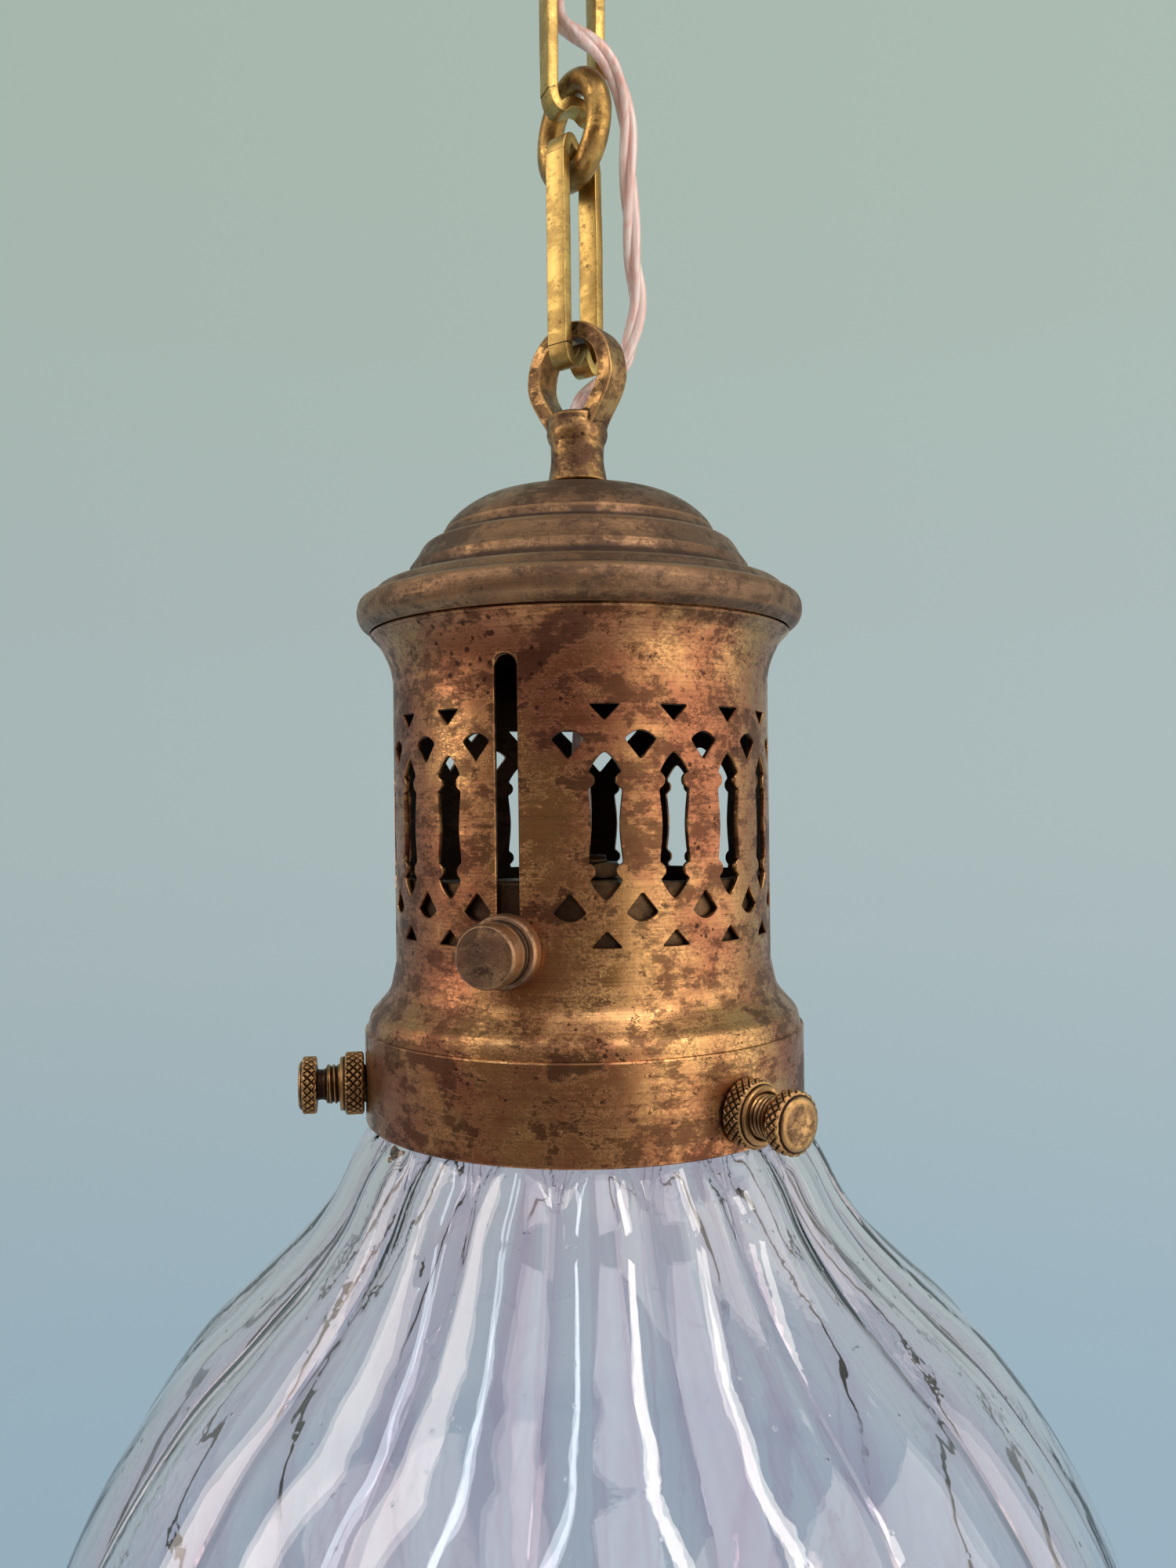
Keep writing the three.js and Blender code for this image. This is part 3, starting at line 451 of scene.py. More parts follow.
AGED_METAL = aged_metal_group()


def new_material(name):
    material = bpy.data.materials.new(name)
    material.use_nodes = True
    tree = material.node_tree
    return material, tree, tree.nodes["Principled BSDF"]


def metal_material(name, metallic=1.0, bump=0.00004, **values):
    """A metal finish made from the shared group with its own values."""
    material, tree, shader = new_material(name)
    effect = tree.nodes.new("ShaderNodeGroup")
    effect.node_tree = AGED_METAL
    for title, value in values.items():
        value = (*value, 1) if isinstance(value, tuple) else value
        effect.inputs[title.replace("_", " ")].default_value = value
    relief = new_node(tree, "Bump", {
        "Strength": 1.0, "Distance": bump, "Height": effect.outputs["Height"],
    })
    tree.links.new(effect.outputs["Color"], shader.inputs["Base Color"])
    tree.links.new(effect.outputs["Roughness"], shader.inputs["Roughness"])
    tree.links.new(relief.outputs["Normal"], shader.inputs["Normal"])
    shader.inputs["Metallic"].default_value = metallic
    return material


# ---------------------------------------------------------------- materials

GALLERY_BRASS = metal_material(
    "gallery_aged_brass", Fresh=(0.68, 0.385, 0.155), Aged=(0.4, 0.16, 0.08), Spots=(0.045, 0.019, 0.013),
    Aging=0.55, Blotch_Scale=30.0, Mottling=0.9, Specks=0.85, Wear=0.8, Grime=0.7, Lines=0.55,
    Scratches=0.85, Gloss=0.22, Dull=0.42, Soot=0.95,
)
CAP_BRASS = metal_material(
    "cap_dull_brass", metallic=0.82, Fresh=(0.36, 0.2, 0.095), Aged=(0.19, 0.108, 0.062),
    Spots=(0.045, 0.028, 0.02), Aging=0.6, Blotch_Scale=40.0, Mottling=0.8, Specks=0.6, Wear=0.8,
    Grime=0.9, Lines=0.45, Scratches=0.5, Gloss=0.33, Dull=0.52, Soot=0.95,
)
LOOP_BRASS = metal_material(
    "loop_cast_brass", Fresh=(0.56, 0.33, 0.125), Aged=(0.17, 0.092, 0.05), Spots=(0.05, 0.028, 0.02),
    Aging=0.5, Blotch_Scale=110.0, Mottling=0.8, Specks=0.7, Wear=0.9, Grime=0.9, Lines=0.1,
    Scratches=0.4, Gloss=0.3, Dull=0.48, bump=0.00008,
)
RING_BRASS = metal_material(
    "ring_brass", Fresh=(0.7, 0.42, 0.12), Aged=(0.12, 0.066, 0.03), Spots=(0.035, 0.02, 0.014),
    Aging=0.56, Blotch_Scale=95.0, Mottling=0.7, Specks=0.7, Wear=0.5, Grime=0.6, Lines=0.0,
    Scratches=0.4, Gloss=0.25, Dull=0.42, bump=0.00006,
)
LINK_BRASS = metal_material(
    "link_yellow_brass", Fresh=(0.56, 0.385, 0.12), Aged=(0.42, 0.275, 0.08), Spots=(0.09, 0.05, 0.025),
    Aging=0.35, Blotch_Scale=110.0, Mottling=0.45, Specks=0.5, Wear=0.2, Grime=0.8, Lines=0.1,
    Scratches=0.4, Gloss=0.34, Dull=0.45,
)
KNOB_BRASS = metal_material(
    "knob_dull_brass", metallic=0.95, Fresh=(0.4, 0.235, 0.125), Aged=(0.18, 0.105, 0.068),
    Spots=(0.045, 0.028, 0.02), Aging=0.55, Blotch_Scale=190.0, Mottling=0.9, Specks=0.8, Wear=0.8,
    Grime=0.8, Lines=0.1, Scratches=0.3, Gloss=0.32, Dull=0.5, bump=0.00006,
)
SCREW_BRASS = metal_material(
    "screw_knurled_brass", Fresh=(0.52, 0.31, 0.125), Aged=(0.24, 0.135, 0.068), Spots=(0.04, 0.022, 0.015),
    Aging=0.6, Blotch_Scale=160.0, Mottling=0.85, Specks=0.7, Wear=0.9, Grime=1.0, Lines=0.0,
    Scratches=0.2, Gloss=0.28, Dull=0.45,
)
# Brass of the parts inside the gallery and under the cap, painted much darker than the outer brass: painted
# shade.
SHADED_INNER_BRASS = metal_material(
    "inner_brass_painted_shade", Fresh=(0.17, 0.1, 0.048), Aged=(0.07, 0.042, 0.026), Spots=(0.025, 0.015, 0.01),
    Aging=0.55, Blotch_Scale=90.0, Mottling=0.5, Specks=0.4, Wear=0.6, Grime=0.7, Lines=0.3,
    Scratches=0.3, Gloss=0.34, Dull=0.5, Soot=0.8,
)
WASHER_STEEL = metal_material(
    "washer_dull_steel", Fresh=(0.62, 0.6, 0.57), Aged=(0.42, 0.38, 0.34), Spots=(0.16, 0.09, 0.055),
    Aging=0.45, Blotch_Scale=120.0, Mottling=0.4, Specks=0.4, Wear=0.6, Grime=0.6, Lines=0.0,
    Scratches=0.3, Gloss=0.34, Dull=0.5,
)


def porcelain_material():
    material, tree, shader = new_material("holder_porcelain")
    place = new_node(tree, "TexCoord").outputs["Object"]
    dust = eased(tree, noise_at(tree, place, 170, 5, 0.6), 0.5, 0.75)
    colour = mixed(tree, dust, (0.86, 0.83, 0.76, 1), (0.66, 0.6, 0.5, 1))
    tree.links.new(colour, shader.inputs["Base Color"])
    rough = calc(tree, "MULTIPLY_ADD", dust, 0.3, 0.14)
    tree.links.new(rough, shader.inputs["Roughness"])
    return material


def glass_material():
    """Old pressed glass: clear, faintly violet, with waves, seeds and a little dust, and painted shade along
    the flute valleys.
    """
    material, tree, shader = new_material("shade_pressed_glass")
    place = new_node(tree, "TexCoord").outputs["Object"]
    waves = noise_at(tree, stretched(tree, place, (120, 120, 9)), 1, 2, 0.5)
    ripples = noise_at(tree, stretched(tree, place, (260, 260, 420)), 1, 2, 0.5)
    patches = eased(tree, noise_at(tree, place, 24, 2), 0.46, 0.6)
    ripples = calc(tree, "MULTIPLY", ripples, calc(tree, "MULTIPLY", patches, 0.55))
    cells = new_node(tree, "TexVoronoi", {"Vector": place, "Scale": 210, "Randomness": 1})
    gate = eased(tree, noise_at(tree, place, 60, 2), 0.46, 0.56)
    seeds = calc(tree, "MULTIPLY", eased(tree, cells.outputs["Distance"], 0.11, 0.03), gate)
    relief = calc(tree, "ADD", ripples, calc(tree, "MULTIPLY_ADD", seeds, 1.2, waves))
    bump = new_node(tree, "Bump", {"Strength": 0.5, "Distance": 0.00016, "Height": relief})
    tree.links.new(bump.outputs["Normal"], shader.inputs["Normal"])
    # The valley mark darkens the lilac tint along each flute's valley: painted shade. The broad streaks round
    # the glass are its own colour.
    valley = new_node(tree, "Attribute", attribute_name="valley").outputs["Fac"]
    east, north, _ = new_node(tree, "SeparateXYZ", {0: place}).outputs
    angle = calc(tree, "ARCTAN2", east, north)
    round_place = new_node(tree, "CombineXYZ", {"X": calc(tree, "MULTIPLY", angle, 7.5)}).outputs[0]
    broad_streaks = noise_at(tree, round_place, 1, 3, 0.7)
    streaks_and_valley_shade = eased(tree, broad_streaks, 0.5, 0.58)
    streaks_and_valley_shade = calc(tree, "MAXIMUM", calc(tree, "MULTIPLY", streaks_and_valley_shade, 0.75), valley)
    tint_and_valley_shade = mixed(tree, streaks_and_valley_shade, (0.995, 0.94, 0.96, 1), (0.92, 0.775, 0.84, 1))
    tree.links.new(tint_and_valley_shade, shader.inputs["Base Color"])
    dust = eased(tree, noise_at(tree, place, 240, 5, 0.7), 0.55, 0.8)
    tree.links.new(calc(tree, "MULTIPLY_ADD", dust, 0.08, 0.015), shader.inputs["Roughness"])
    shader.inputs["Transmission Weight"].default_value = 1.0
    shader.inputs["IOR"].default_value = 1.5
    return material


def flex_material():
    """Clear sheath with rosy copper strands showing through."""
    material, tree, shader = new_material("flex_clear_sheath")
    place = new_node(tree, "TexCoord").outputs["Object"]
    along = noise_at(tree, stretched(tree, place, (900, 900, 60)), 1, 3, 0.6)
    colour = mixed(tree, eased(tree, along, 0.35, 0.65), (0.86, 0.5, 0.42, 1), (0.93, 0.76, 0.7, 1))
    tree.links.new(colour, shader.inputs["Base Color"])
    rough = calc(tree, "MULTIPLY_ADD", noise_at(tree, place, 300, 2), 0.16, 0.12)
    tree.links.new(rough, shader.inputs["Roughness"])
    shader.inputs["Transmission Weight"].default_value = 0.35
    shader.inputs["IOR"].default_value = 1.45
    shader.inputs["Coat Weight"].default_value = 0.6
    shader.inputs["Coat Roughness"].default_value = 0.08
    return material


PORCELAIN = porcelain_material()
SHADE_GLASS = glass_material()
FLEX_SHEATH = flex_material()


# ---------------------------------------------------------------- flex

FLEX_ROUTE = [
    (0, 0, -159.5), (0, 0, -148), (0, 0, -136.5), (0.1, 0.7, -133.3), (0.5, 3.2, -129.9),
    (1.3, 6.9, -127), (2.8, 10.3, -123.8), (4.8, 12.2, -121), (6.5, 12.7, -118.7), (8.3, 12.7, -113.5),
    (9.4, 12, -107), (9.2, 10.2, -99.2), (9.2, 8.2, -87.4), (9.5, 6.8, -76), (9.4, 5.7, -71.6),
    (9, 3.8, -67.4), (7.8, 1.2, -63.8), (6, -0.6, -61.4), (3.3, -1, -58.7), (0.3, -0.6, -55.8),
    (-2.5, 0.4, -52.5), (-3.9, 1.1, -47.8), (-4.8, 1.5, -42.5), (-8.3, -1, -34), (-11, -2.6, -23),
    (-14.4, -4.2, -13.5), (-16.4, -5.4, -8), (-16.6, -5.5, -4), (-16.6, -5.5, -0.3),
]
INNER_ROUTE = [(0, 0, z) for z in (-223.6, -207.6, -191.7, -175.8, -159.8)]
FLEX_JOINS = [0, 0.345, 0.535, 0.77, 1]
STRAND_RADIUS = 1.02
STRAND_OFFSET = 1.0
STRAND_TURN = 52
STRAND_SIDES = 14


def frames_along(points):
    """Each point with two directions square to the line, carried along it without twist."""
    frames = []
    across = Vector((1, 0, 0))
    for i, point in enumerate(points):
        along = (points[min(i + 1, len(points) - 1)] - points[max(i - 1, 0)]).normalized()
        across = (across - along * across.dot(along)).normalized()
        frames.append((point, across.copy(), along.cross(across)))
    return frames


def lofted(rings, endless=False):
    """A closed body through rings of points: an endless one comes back to its first, others get ends."""
    bm = bmesh.new()
    loops = []
    for ring in rings:
        verts = [bm.verts.new(Vector(p) * MM) for p in ring]
        loops.append([bm.edges.new(pair) for pair in zip(verts, verts[1:] + verts[:1])])
    pairs = list(zip(loops, loops[1:] + loops[:1]))
    for low, high in pairs if endless else pairs[:-1]:
        bmesh.ops.bridge_loops(bm, edges=low + high)
    if not endless:
        for loop in (loops[0], loops[-1]):
            bmesh.ops.contextual_create(bm, geom=loop)
    bmesh.ops.recalc_face_normals(bm, faces=bm.faces)
    return bm


def strands(frames, distances):
    """Three cores laid together, which turn slowly round the flex's own line."""
    parts = []
    for k in range(3):
        rings = []
        for (point, across, up), distance in zip(frames, distances):
            turn = TURN * (k / 3 + distance / STRAND_TURN)
            centre = point + STRAND_OFFSET * (across * math.cos(turn) + up * math.sin(turn))
            rings.append([
                centre + STRAND_RADIUS * (across * math.cos(a) + up * math.sin(a))
                for a in (TURN * s / STRAND_SIDES for s in range(STRAND_SIDES))
            ])
        parts.append(lofted(rings))
    return joined(parts)


def add_flex():
    """The flex in stretches between the chain's joints, each running from one body to the next."""
    line = smooth_run(FLEX_ROUTE, 8)
    distances = [0.0]
    for a, b in zip(line, line[1:]):
        distances.append(distances[-1] + (b - a).length)
    frames = frames_along(line)
    for i in range(len(FLEX_JOINS) - 1):
        start, end = (FLEX_JOINS[i + k] * distances[-1] for k in (0, 1))
        first = min(range(len(line)), key=lambda n: abs(distances[n] - start))
        last = min(range(len(line)), key=lambda n: abs(distances[n] - end))
        name = f"supply_cord_{i + 1}"
        part = strands(frames[first:last + 1], distances[first:last + 1])
        piece = add_piece(f"flex_stretch_{i + 1}", part, None, "flex", FLEX_SHEATH, [name], 60)
        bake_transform(piece)


def add_inner_flex():
    """The straight end of the flex inside the gallery, from the lamp holder's nipple up to the loop's shank.
    """
    line = smooth_run(INNER_ROUTE, 12)
    distances = [(p - line[-1]).length for p in line]
    piece = add_piece(
        "flex_inner_end", strands(frames_along(line), distances), "pendant", "flex", FLEX_SHEATH,
        ["inner_flex"], 60,
    )
    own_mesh(piece)


add_flex()
add_inner_flex()


# ---------------------------------------------------------------- chain

LINK_LENGTH = 47
LINK_THICKNESS = 2.2
LINK_WIDTH = 4.6
LINK_LEG_SPACING = 10.6
LINK_RING_PINCH = 1.4
LINK_HOOK_PINCH = 3.4
LINK_SHARES = [(0.7, 1), (0.86, 0.98), (0.96, 0.86), (1, 0.6), (0.95, 0.32)]


def closed_run(points, steps):
    """Points of a smooth closed curve, evenly shared between the given ones."""
    count = len(points)
    looped = [points[-1], *points, points[0], points[1]]
    run = smooth_run(looped, steps)
    return run[steps:steps * (count + 1)]


def beside(points, reach, closed=True):
    """The line moved sideways by the reach, to its right."""
    moved = []
    count = len(points)
    for i, point in enumerate(points):
        before = points[(i - 1) % count] if closed or i else point
        after = points[(i + 1) % count] if closed or i < count - 1 else point
        along = (after - before).normalized()
        moved.append((point.x + reach * along.y, point.y - reach * along.x))
    return moved


def rounded_bar(half_wide, half_thick, corner, steps=3):
    """The section of a flat bar with round corners."""
    points = []
    for x, y, first in ((1, 1, 0), (-1, 1, 90), (-1, -1, 180), (1, -1, 270)):
        for k in range(steps + 1):
            turn = math.radians(first + 90 * k / steps)
            points.append((
                x * (half_wide - corner) + corner * math.cos(turn),
                y * (half_thick - corner) + corner * math.sin(turn),
            ))
    return points


def add_link(name, angle, z, turned_over):
    """A link bent from flat strip, its two ends pushed in towards each other."""
    half_length = LINK_LENGTH / 2 - LINK_THICKNESS / 2
    half_leg = LINK_LEG_SPACING / 2
    quarter = [(half_leg * out, half_length * up) for up, out in LINK_SHARES]
    right = [(x, -y) for x, y in quarter][::-1] + quarter
    left = [(-x, -y) for x, y in right]
    knots = [
        *right, (0, half_length - LINK_RING_PINCH), *left, (0, LINK_HOOK_PINCH - half_length),
    ]
    middle = closed_run([Vector(k) for k in knots], 7)
    section = rounded_bar(LINK_WIDTH / 2, LINK_THICKNESS / 2, 0.22)
    sides = {out: beside(middle, out) for _, out in section}
    bm = lofted([[(*sides[out][i], wide) for wide, out in section] for i in range(len(middle))], True)
    if turned_over:
        bmesh.ops.rotate(bm, verts=bm.verts, matrix=Matrix.Rotation(math.pi, 3, "Z"))
    for v in bm.verts:
        v.co += 0.14 * MM * noise.noise_vector(v.co * 160 + Vector((angle, 0, 0)))
    point_outward(bm, angle, z)
    add_piece(name + "_strip", bm, name, "link_brass", LINK_BRASS, [name], 40)


def add_ring():
    bm = bmesh.new()
    rim = bmesh.ops.create_circle(bm, cap_ends=False, segments=28, radius=2.6 * MM)
    bmesh.ops.rotate(bm, verts=bm.verts, matrix=Matrix.Rotation(math.pi / 2, 3, "X"))
    bmesh.ops.translate(bm, verts=bm.verts, vec=(9.25 * MM, 0, 0))
    bmesh.ops.spin(
        bm, geom=rim["verts"] + bm.edges[:], cent=(0, 0, 0), axis=(0, 0, 1), dvec=(0, 0, 0),
        angle=TURN, steps=112, use_merge=True, use_duplicate=False,
    )
    bmesh.ops.remove_doubles(bm, verts=bm.verts, dist=1e-6)
    bmesh.ops.recalc_face_normals(bm, faces=bm.faces)
    for v in bm.verts:
        v.co += 0.2 * MM * noise.noise_vector(v.co * 130)
    point_outward(bm, -36.5, RING_Z)
    add_piece("ring_wire", bm, "ring", "aged_brass", RING_BRASS, ["chain_ring"], 60)


add_link("upper_link", 45.5, UPPER_LINK_Z, True)
add_link("lower_link", 72.5, LOWER_LINK_Z, False)
add_ring()


# ---------------------------------------------------------------- ceiling plate and hook

PLATE_RADIUS = 34
PLATE_DROP = 13
PLATE_HOOK_COVER = 4.5
PLATE_SHARES = [(-0.04, 0), (0, 0.1), (0.04, 0.42), (0.16, 0.66), (0.42, 0.82), (0.8, 0.9), (1, 1.05)]
PLATE_SCREW_CIRCLE = 25
PLATE_SCREW_ANGLES = (20, 200)
PLATE_SPOT = 3.1
HOOK_WIRE = 2.5
HOOK_BEND = 8
HOOK_ANGLE = 135.5


def place_at(radius, angle):
    return radius * math.sin(math.radians(angle)), -radius * math.cos(math.radians(angle))


def column(radius, low, high, x=0.0, y=0.0, sides=48):
    """A round bar, mostly used as a cutter."""
    return prism([(x + a, y + b) for a, b in circle(radius, sides)], low, high)


def add_plate():
    slope = [
        (9.5 + 24.5 * out, (PLATE_DROP - 2.4) * up - PLATE_DROP) for up_out in [PLATE_SHARES]
        for out, up in up_out
    ]
    points = outline(
        [(0, -PLATE_HOOK_COVER), (2.8, -PLATE_HOOK_COVER)],
        [(2.8, -PLATE_DROP + 0.4), (3.2, -PLATE_DROP)],
        slope[:-1] + [(33.2, -1.75)], [(33.8, -1.2), (34, -0.5)], [(34, 0), (0, 0)],
    )
    body = turned(points, 144)
    cutters = [column(2.6, -PLATE_DROP, 2, -16.6, -5.5)]
    for angle in PLATE_SCREW_ANGLES:
        x, y = place_at(PLATE_SCREW_CIRCLE, angle)
        cutters += [column(4.3, -PLATE_DROP, -PLATE_SPOT, x, y), column(2.3, -4, 2, x, y)]
    for cutter in cutters:
        body = combined(body, cutter, "DIFFERENCE")
    add_piece("ceiling_rose", body, "ceiling", "aged_brass", CAP_BRASS, ["ceiling_plate"])
    for i, angle in enumerate(PLATE_SCREW_ANGLES):
        low = -PLATE_SPOT - 0.3
        head = outline(
            [(0, low - 2), (2.4, low - 1.7), (3.7, low - 0.8), (4, low - 0.15)],
            [(4, low), (2, low)], [(2, 0), (0, 0)],
        )
        screw = turned(head, 48)
        slot = prism([(-5, -0.45), (5, -0.45), (5, 0.45), (-5, 0.45)], low - 3, low - 1)
        bmesh.ops.rotate(slot, verts=slot.verts, matrix=Matrix.Rotation(0.5 + i, 3, "Z"))
        screw = combined(screw, slot, "DIFFERENCE")
        x, y = place_at(PLATE_SCREW_CIRCLE, angle)
        bmesh.ops.translate(screw, verts=screw.verts, vec=(x * MM, y * MM, 0))
        node = f"plate_screw_{i + 1}"
        add_piece(f"rose_screw_{i + 1}", screw, "ceiling", "aged_brass", SCREW_BRASS, [node])


def add_hook():
    """The hook's wire: a shank on the axis, bent out and round under itself."""
    bend_z = HOOK_SEAT_Z - HOOK_WIRE + HOOK_BEND
    top_z = -PLATE_HOOK_COVER - 0.3
    knots = [(0, top_z), (0, 0.5 * (top_z + bend_z + HOOK_BEND)), (0, bend_z + 1.35 * HOOK_BEND)]
    for degrees in range(130, 381, 25):
        angle = math.radians(degrees)
        knots.append((HOOK_BEND * math.cos(angle), bend_z + HOOK_BEND * math.sin(angle)))
    line = smooth_run([Vector((x, 0, z)) for x, z in knots], 7)
    end = line[-1]
    ahead = (end - line[-2]).normalized()
    rings = []
    side = Vector((0, 1, 0))
    for point, across, up in frames_along(line):
        rings.append([point + HOOK_WIRE * (side * math.cos(a) + side.cross(
            across.cross(up)) * math.sin(a)) for a in (TURN * s / 24 for s in range(24))])
    for share in (0.45, 0.8, 0.97):
        radius = math.sqrt(1 - share ** 2)
        base = rings[len(line) - 1]
        rings.append([end + (p - end) * radius + ahead * share * 0.9 for p in base])
    bm = lofted(rings)
    turn = Matrix.Rotation(math.radians(HOOK_ANGLE), 3, "Z")
    bmesh.ops.rotate(bm, verts=bm.verts, cent=(0, 0, 0), matrix=turn)
    add_piece("hook_wire", bm, "ceiling", "aged_brass", RING_BRASS, ["ceiling_hook"], 60)


add_plate()
add_hook()


# ---------------------------------------------------------------- hanging loop

EYE_MIDDLE = 8.85
EYE_BAR = 3.3
EYE_WIDTH = 6
EYE_ANGLE = -15.5
EYE_SHARES = [
    (0.42, -1.22), (0.52, -1.04), (0.66, -0.83), (0.8, -0.62), (0.95, -0.33), (1, 0), (0.87, 0.5),
    (0.5, 0.87),
]
STEM_DROP = 21.965
STEM_BEAD = 6.2
STEM_SHARES = [
    (0, 0.955), (0.02, 0.97), (0.087, 0.93), (0.173, 0.885), (0.26, 0.875), (0.36, 0.885),
    (0.392, 0.94), (0.447, 1), (0.52, 0.985), (0.56, 0.95), (0.585, 0.955), (0.606, 0.96),
    (0.63, 0.87), (0.65, 0.6),
]
SHANK_RADIUS = 4.9


def remeshed(bm, voxel, passes, factor=0.5):
    """One skin over joined bodies, its steps smoothed away, so that the joins get soft fillets."""
    item = bpy.data.objects.new("skin", mesh_of(bm))
    bpy.context.scene.collection.objects.link(item)
    skin = item.modifiers.new("skin", "REMESH")
    skin.mode = "VOXEL"
    skin.voxel_size = voxel * MM
    bpy.context.view_layer.update()
    graph = bpy.context.evaluated_depsgraph_get()
    result = bpy.data.meshes.new_from_object(item.evaluated_get(graph))
    out = bmesh.new()
    out.from_mesh(result)
    mesh = item.data
    bpy.data.meshes.remove(result)
    bpy.data.objects.remove(item)
    bpy.data.meshes.remove(mesh)
    for _ in range(passes):
        bmesh.ops.smooth_vert(
            out, verts=out.verts, factor=factor, use_axis_x=True, use_axis_y=True, use_axis_z=True,
        )
    return out


def add_loop():
    knots = [Vector((EYE_MIDDLE * out, EYE_MIDDLE * up)) for out, up in [*EYE_SHARES, (0, 1)]]
    knots += [Vector((-k.x, k.y)) for k in knots[-2::-1]]
    middle = smooth_run(knots, 6)
    outer = beside(middle, EYE_BAR / 2, closed=False)
    inner = beside(middle, -EYE_BAR / 2, closed=False)
    eye = prism(outer + inner[::-1], -EYE_WIDTH / 2, EYE_WIDTH / 2)
    round_edges(eye, 0.95, 3, 50)
    point_outward(eye, EYE_ANGLE, EYE_Z)
    stem = [(STEM_BEAD * out, STEM_BASE_Z + STEM_DROP * up) for up, out in STEM_SHARES]
    profile = outline(
        [(0, SHANK_END_Z), (SHANK_RADIUS - 0.5, SHANK_END_Z)],
        [(SHANK_RADIUS, SHANK_END_Z + 0.5), (SHANK_RADIUS, STEM_BASE_Z)],
        stem, [stem[-1], (0, stem[-1][1])], steps=4,
    )
    body = combined(turned(profile, 96), eye, "UNION")
    top = stem[-1][1]
    bore = turned([
        (0, SHANK_END_Z - 4), (2.5, SHANK_END_Z - 4), (2.5, top - 2.5), (3.2, top), (3.2, EYE_Z),
        (0, EYE_Z),
    ], 64)
    body = remeshed(combined(body, bore, "DIFFERENCE"), 0.2, 5)
    for v in body.verts:
        v.co += 0.12 * MM * noise.noise_vector(v.co * 240)
    add_piece("hanging_loop_casting", body, "pendant", "aged_brass", LOOP_BRASS, ["hanging_loop"], 75)


def add_loop_fixings():
    top = CAP_TOP_Z - 3
    washer = outline(
        [(5.2, top - 1.2), (9.7, top - 1.2)], [(10, top - 0.9), (10, top - 0.3)], [(9.7, top), (5.2, top)],
    )
    add_piece(
        "loop_washer_disc", turned(washer, 96), "pendant", "washer_steel", WASHER_STEEL, ["loop_washer"],
    )
    nut = hex_nut(15, 5, 5.2)
    bmesh.ops.translate(nut, verts=nut.verts, vec=(0, 0, (top - 1.5 - 5) * MM))
    add_piece("loop_lock_nut", nut, "pendant", "inner_brass", SHADED_INNER_BRASS, ["loop_nut"])


def hex_nut(across, thickness, bore):
    """A six sided nut from zero up, its corners turned off at both faces."""
    corner = across / math.sqrt(3)
    body = prism(circle(corner, 6), 0, thickness)
    cone = turned([
        (0, -0.01), (corner - 1.1, -0.01), (corner + 0.1, 0.7), (corner + 0.1, thickness - 0.7),
        (corner - 1.1, thickness + 0.01), (0, thickness + 0.01),
    ], 72)
    body = combined(body, cone, "INTERSECT")
    return combined(body, column(bore, -1, thickness + 1, sides=48), "DIFFERENCE")


add_loop()
add_loop_fixings()


# ---------------------------------------------------------------- cap

CAP_RADIUS = 44.8
CAP_HEIGHT = 30.6
CAP_WALL = 1.2
CAP_BEAD = [(0.944, 0), (0.987, 0.054), (1, 0.131), (0.985, 0.2), (0.945, 0.225)]
CAP_LEDGE = [(0.937, 0.237), (0.905, 0.285), (0.85, 0.305), (0.8, 0.323), (0.775, 0.33)]
CAP_STEP = [(0.765, 0.42), (0.735, 0.481), (0.7, 0.562), (0.66, 0.582), (0.625, 0.596)]
CAP_DOME = [
    (0.612, 0.669), (0.585, 0.727), (0.53, 0.801), (0.45, 0.869), (0.35, 0.908), (0.25, 0.95),
    (0.156, 0.985), (0.116, 1),
]


def add_cap():
    """The spun dome: a rolled rim, a ledge and a step, each ending in a crisp corner."""
    runs = [
        [(CAP_RADIUS * out, CAP_RIM_Z + CAP_HEIGHT * up) for out, up in shares]
        for shares in (CAP_BEAD, CAP_LEDGE, CAP_STEP, CAP_DOME)
    ]
    outside = outline(*runs, steps=5)
    inside = [
        (max(r, 5.2), z) for r, z in moved_in(outside, CAP_WALL) if z > CAP_RIM_Z
    ]
    bm = turned(outside + inside, 216)
    round_edges(bm, 0.25, 2, 24)
    add_piece("cap_dome", bm, "pendant", "aged_brass", CAP_BRASS, ["cap"], 30)


add_cap()


# ---------------------------------------------------------------- gallery

FLARE_RADIUS = 42.2
FLARE_DEPTH = 9.4
FLARE_SHARES = [(0, 0), (0.114, 0.277), (0.318, 0.532), (0.59, 0.777), (0.95, 0.955)]
SPIGOT_RADIUS = 40.9
SHOULDER_SHARES = [
    (1, 1), (0.937, 0.885), (0.794, 0.777), (0.508, 0.615), (0.206, 0.423), (0.08, 0.19), (0, 0),
]
WINDOW_COUNT = 17
WINDOW_FIRST = 26.8
WINDOW_PITCH = 19.63
WINDOW_WIDE = 3.0
WINDOW_TALL = 12.9
# Right upper quarter of a window from its point down, shares of its half width and half height
WINDOW_SHARES = [
    (0, 1), (0.25, 0.965), (0.55, 0.885), (0.8, 0.8), (0.93, 0.745), (0.9, 0.722), (0.76, 0.695),
    (0.65, 0.66), (0.62, 0.62), (0.65, 0.575), (0.76, 0.54), (0.88, 0.515), (1, 0.49), (0.975, 0.4),
    (0.9, 0.25), (0.85, 0.1), (0.83, 0),
]
FAN_WIDTH = 5.85
FAN_HEIGHT = 4.95
FAN_CROWN = 1.45
FAN_ROW = 16.65
TRIANGLE_WIDTH = 5.45
TRIANGLE_HEIGHT = 2.8
TRIANGLE_ROW = 21.25
SLOT_WIDTH = 4.4
PIERCING_EDGE = 0.22


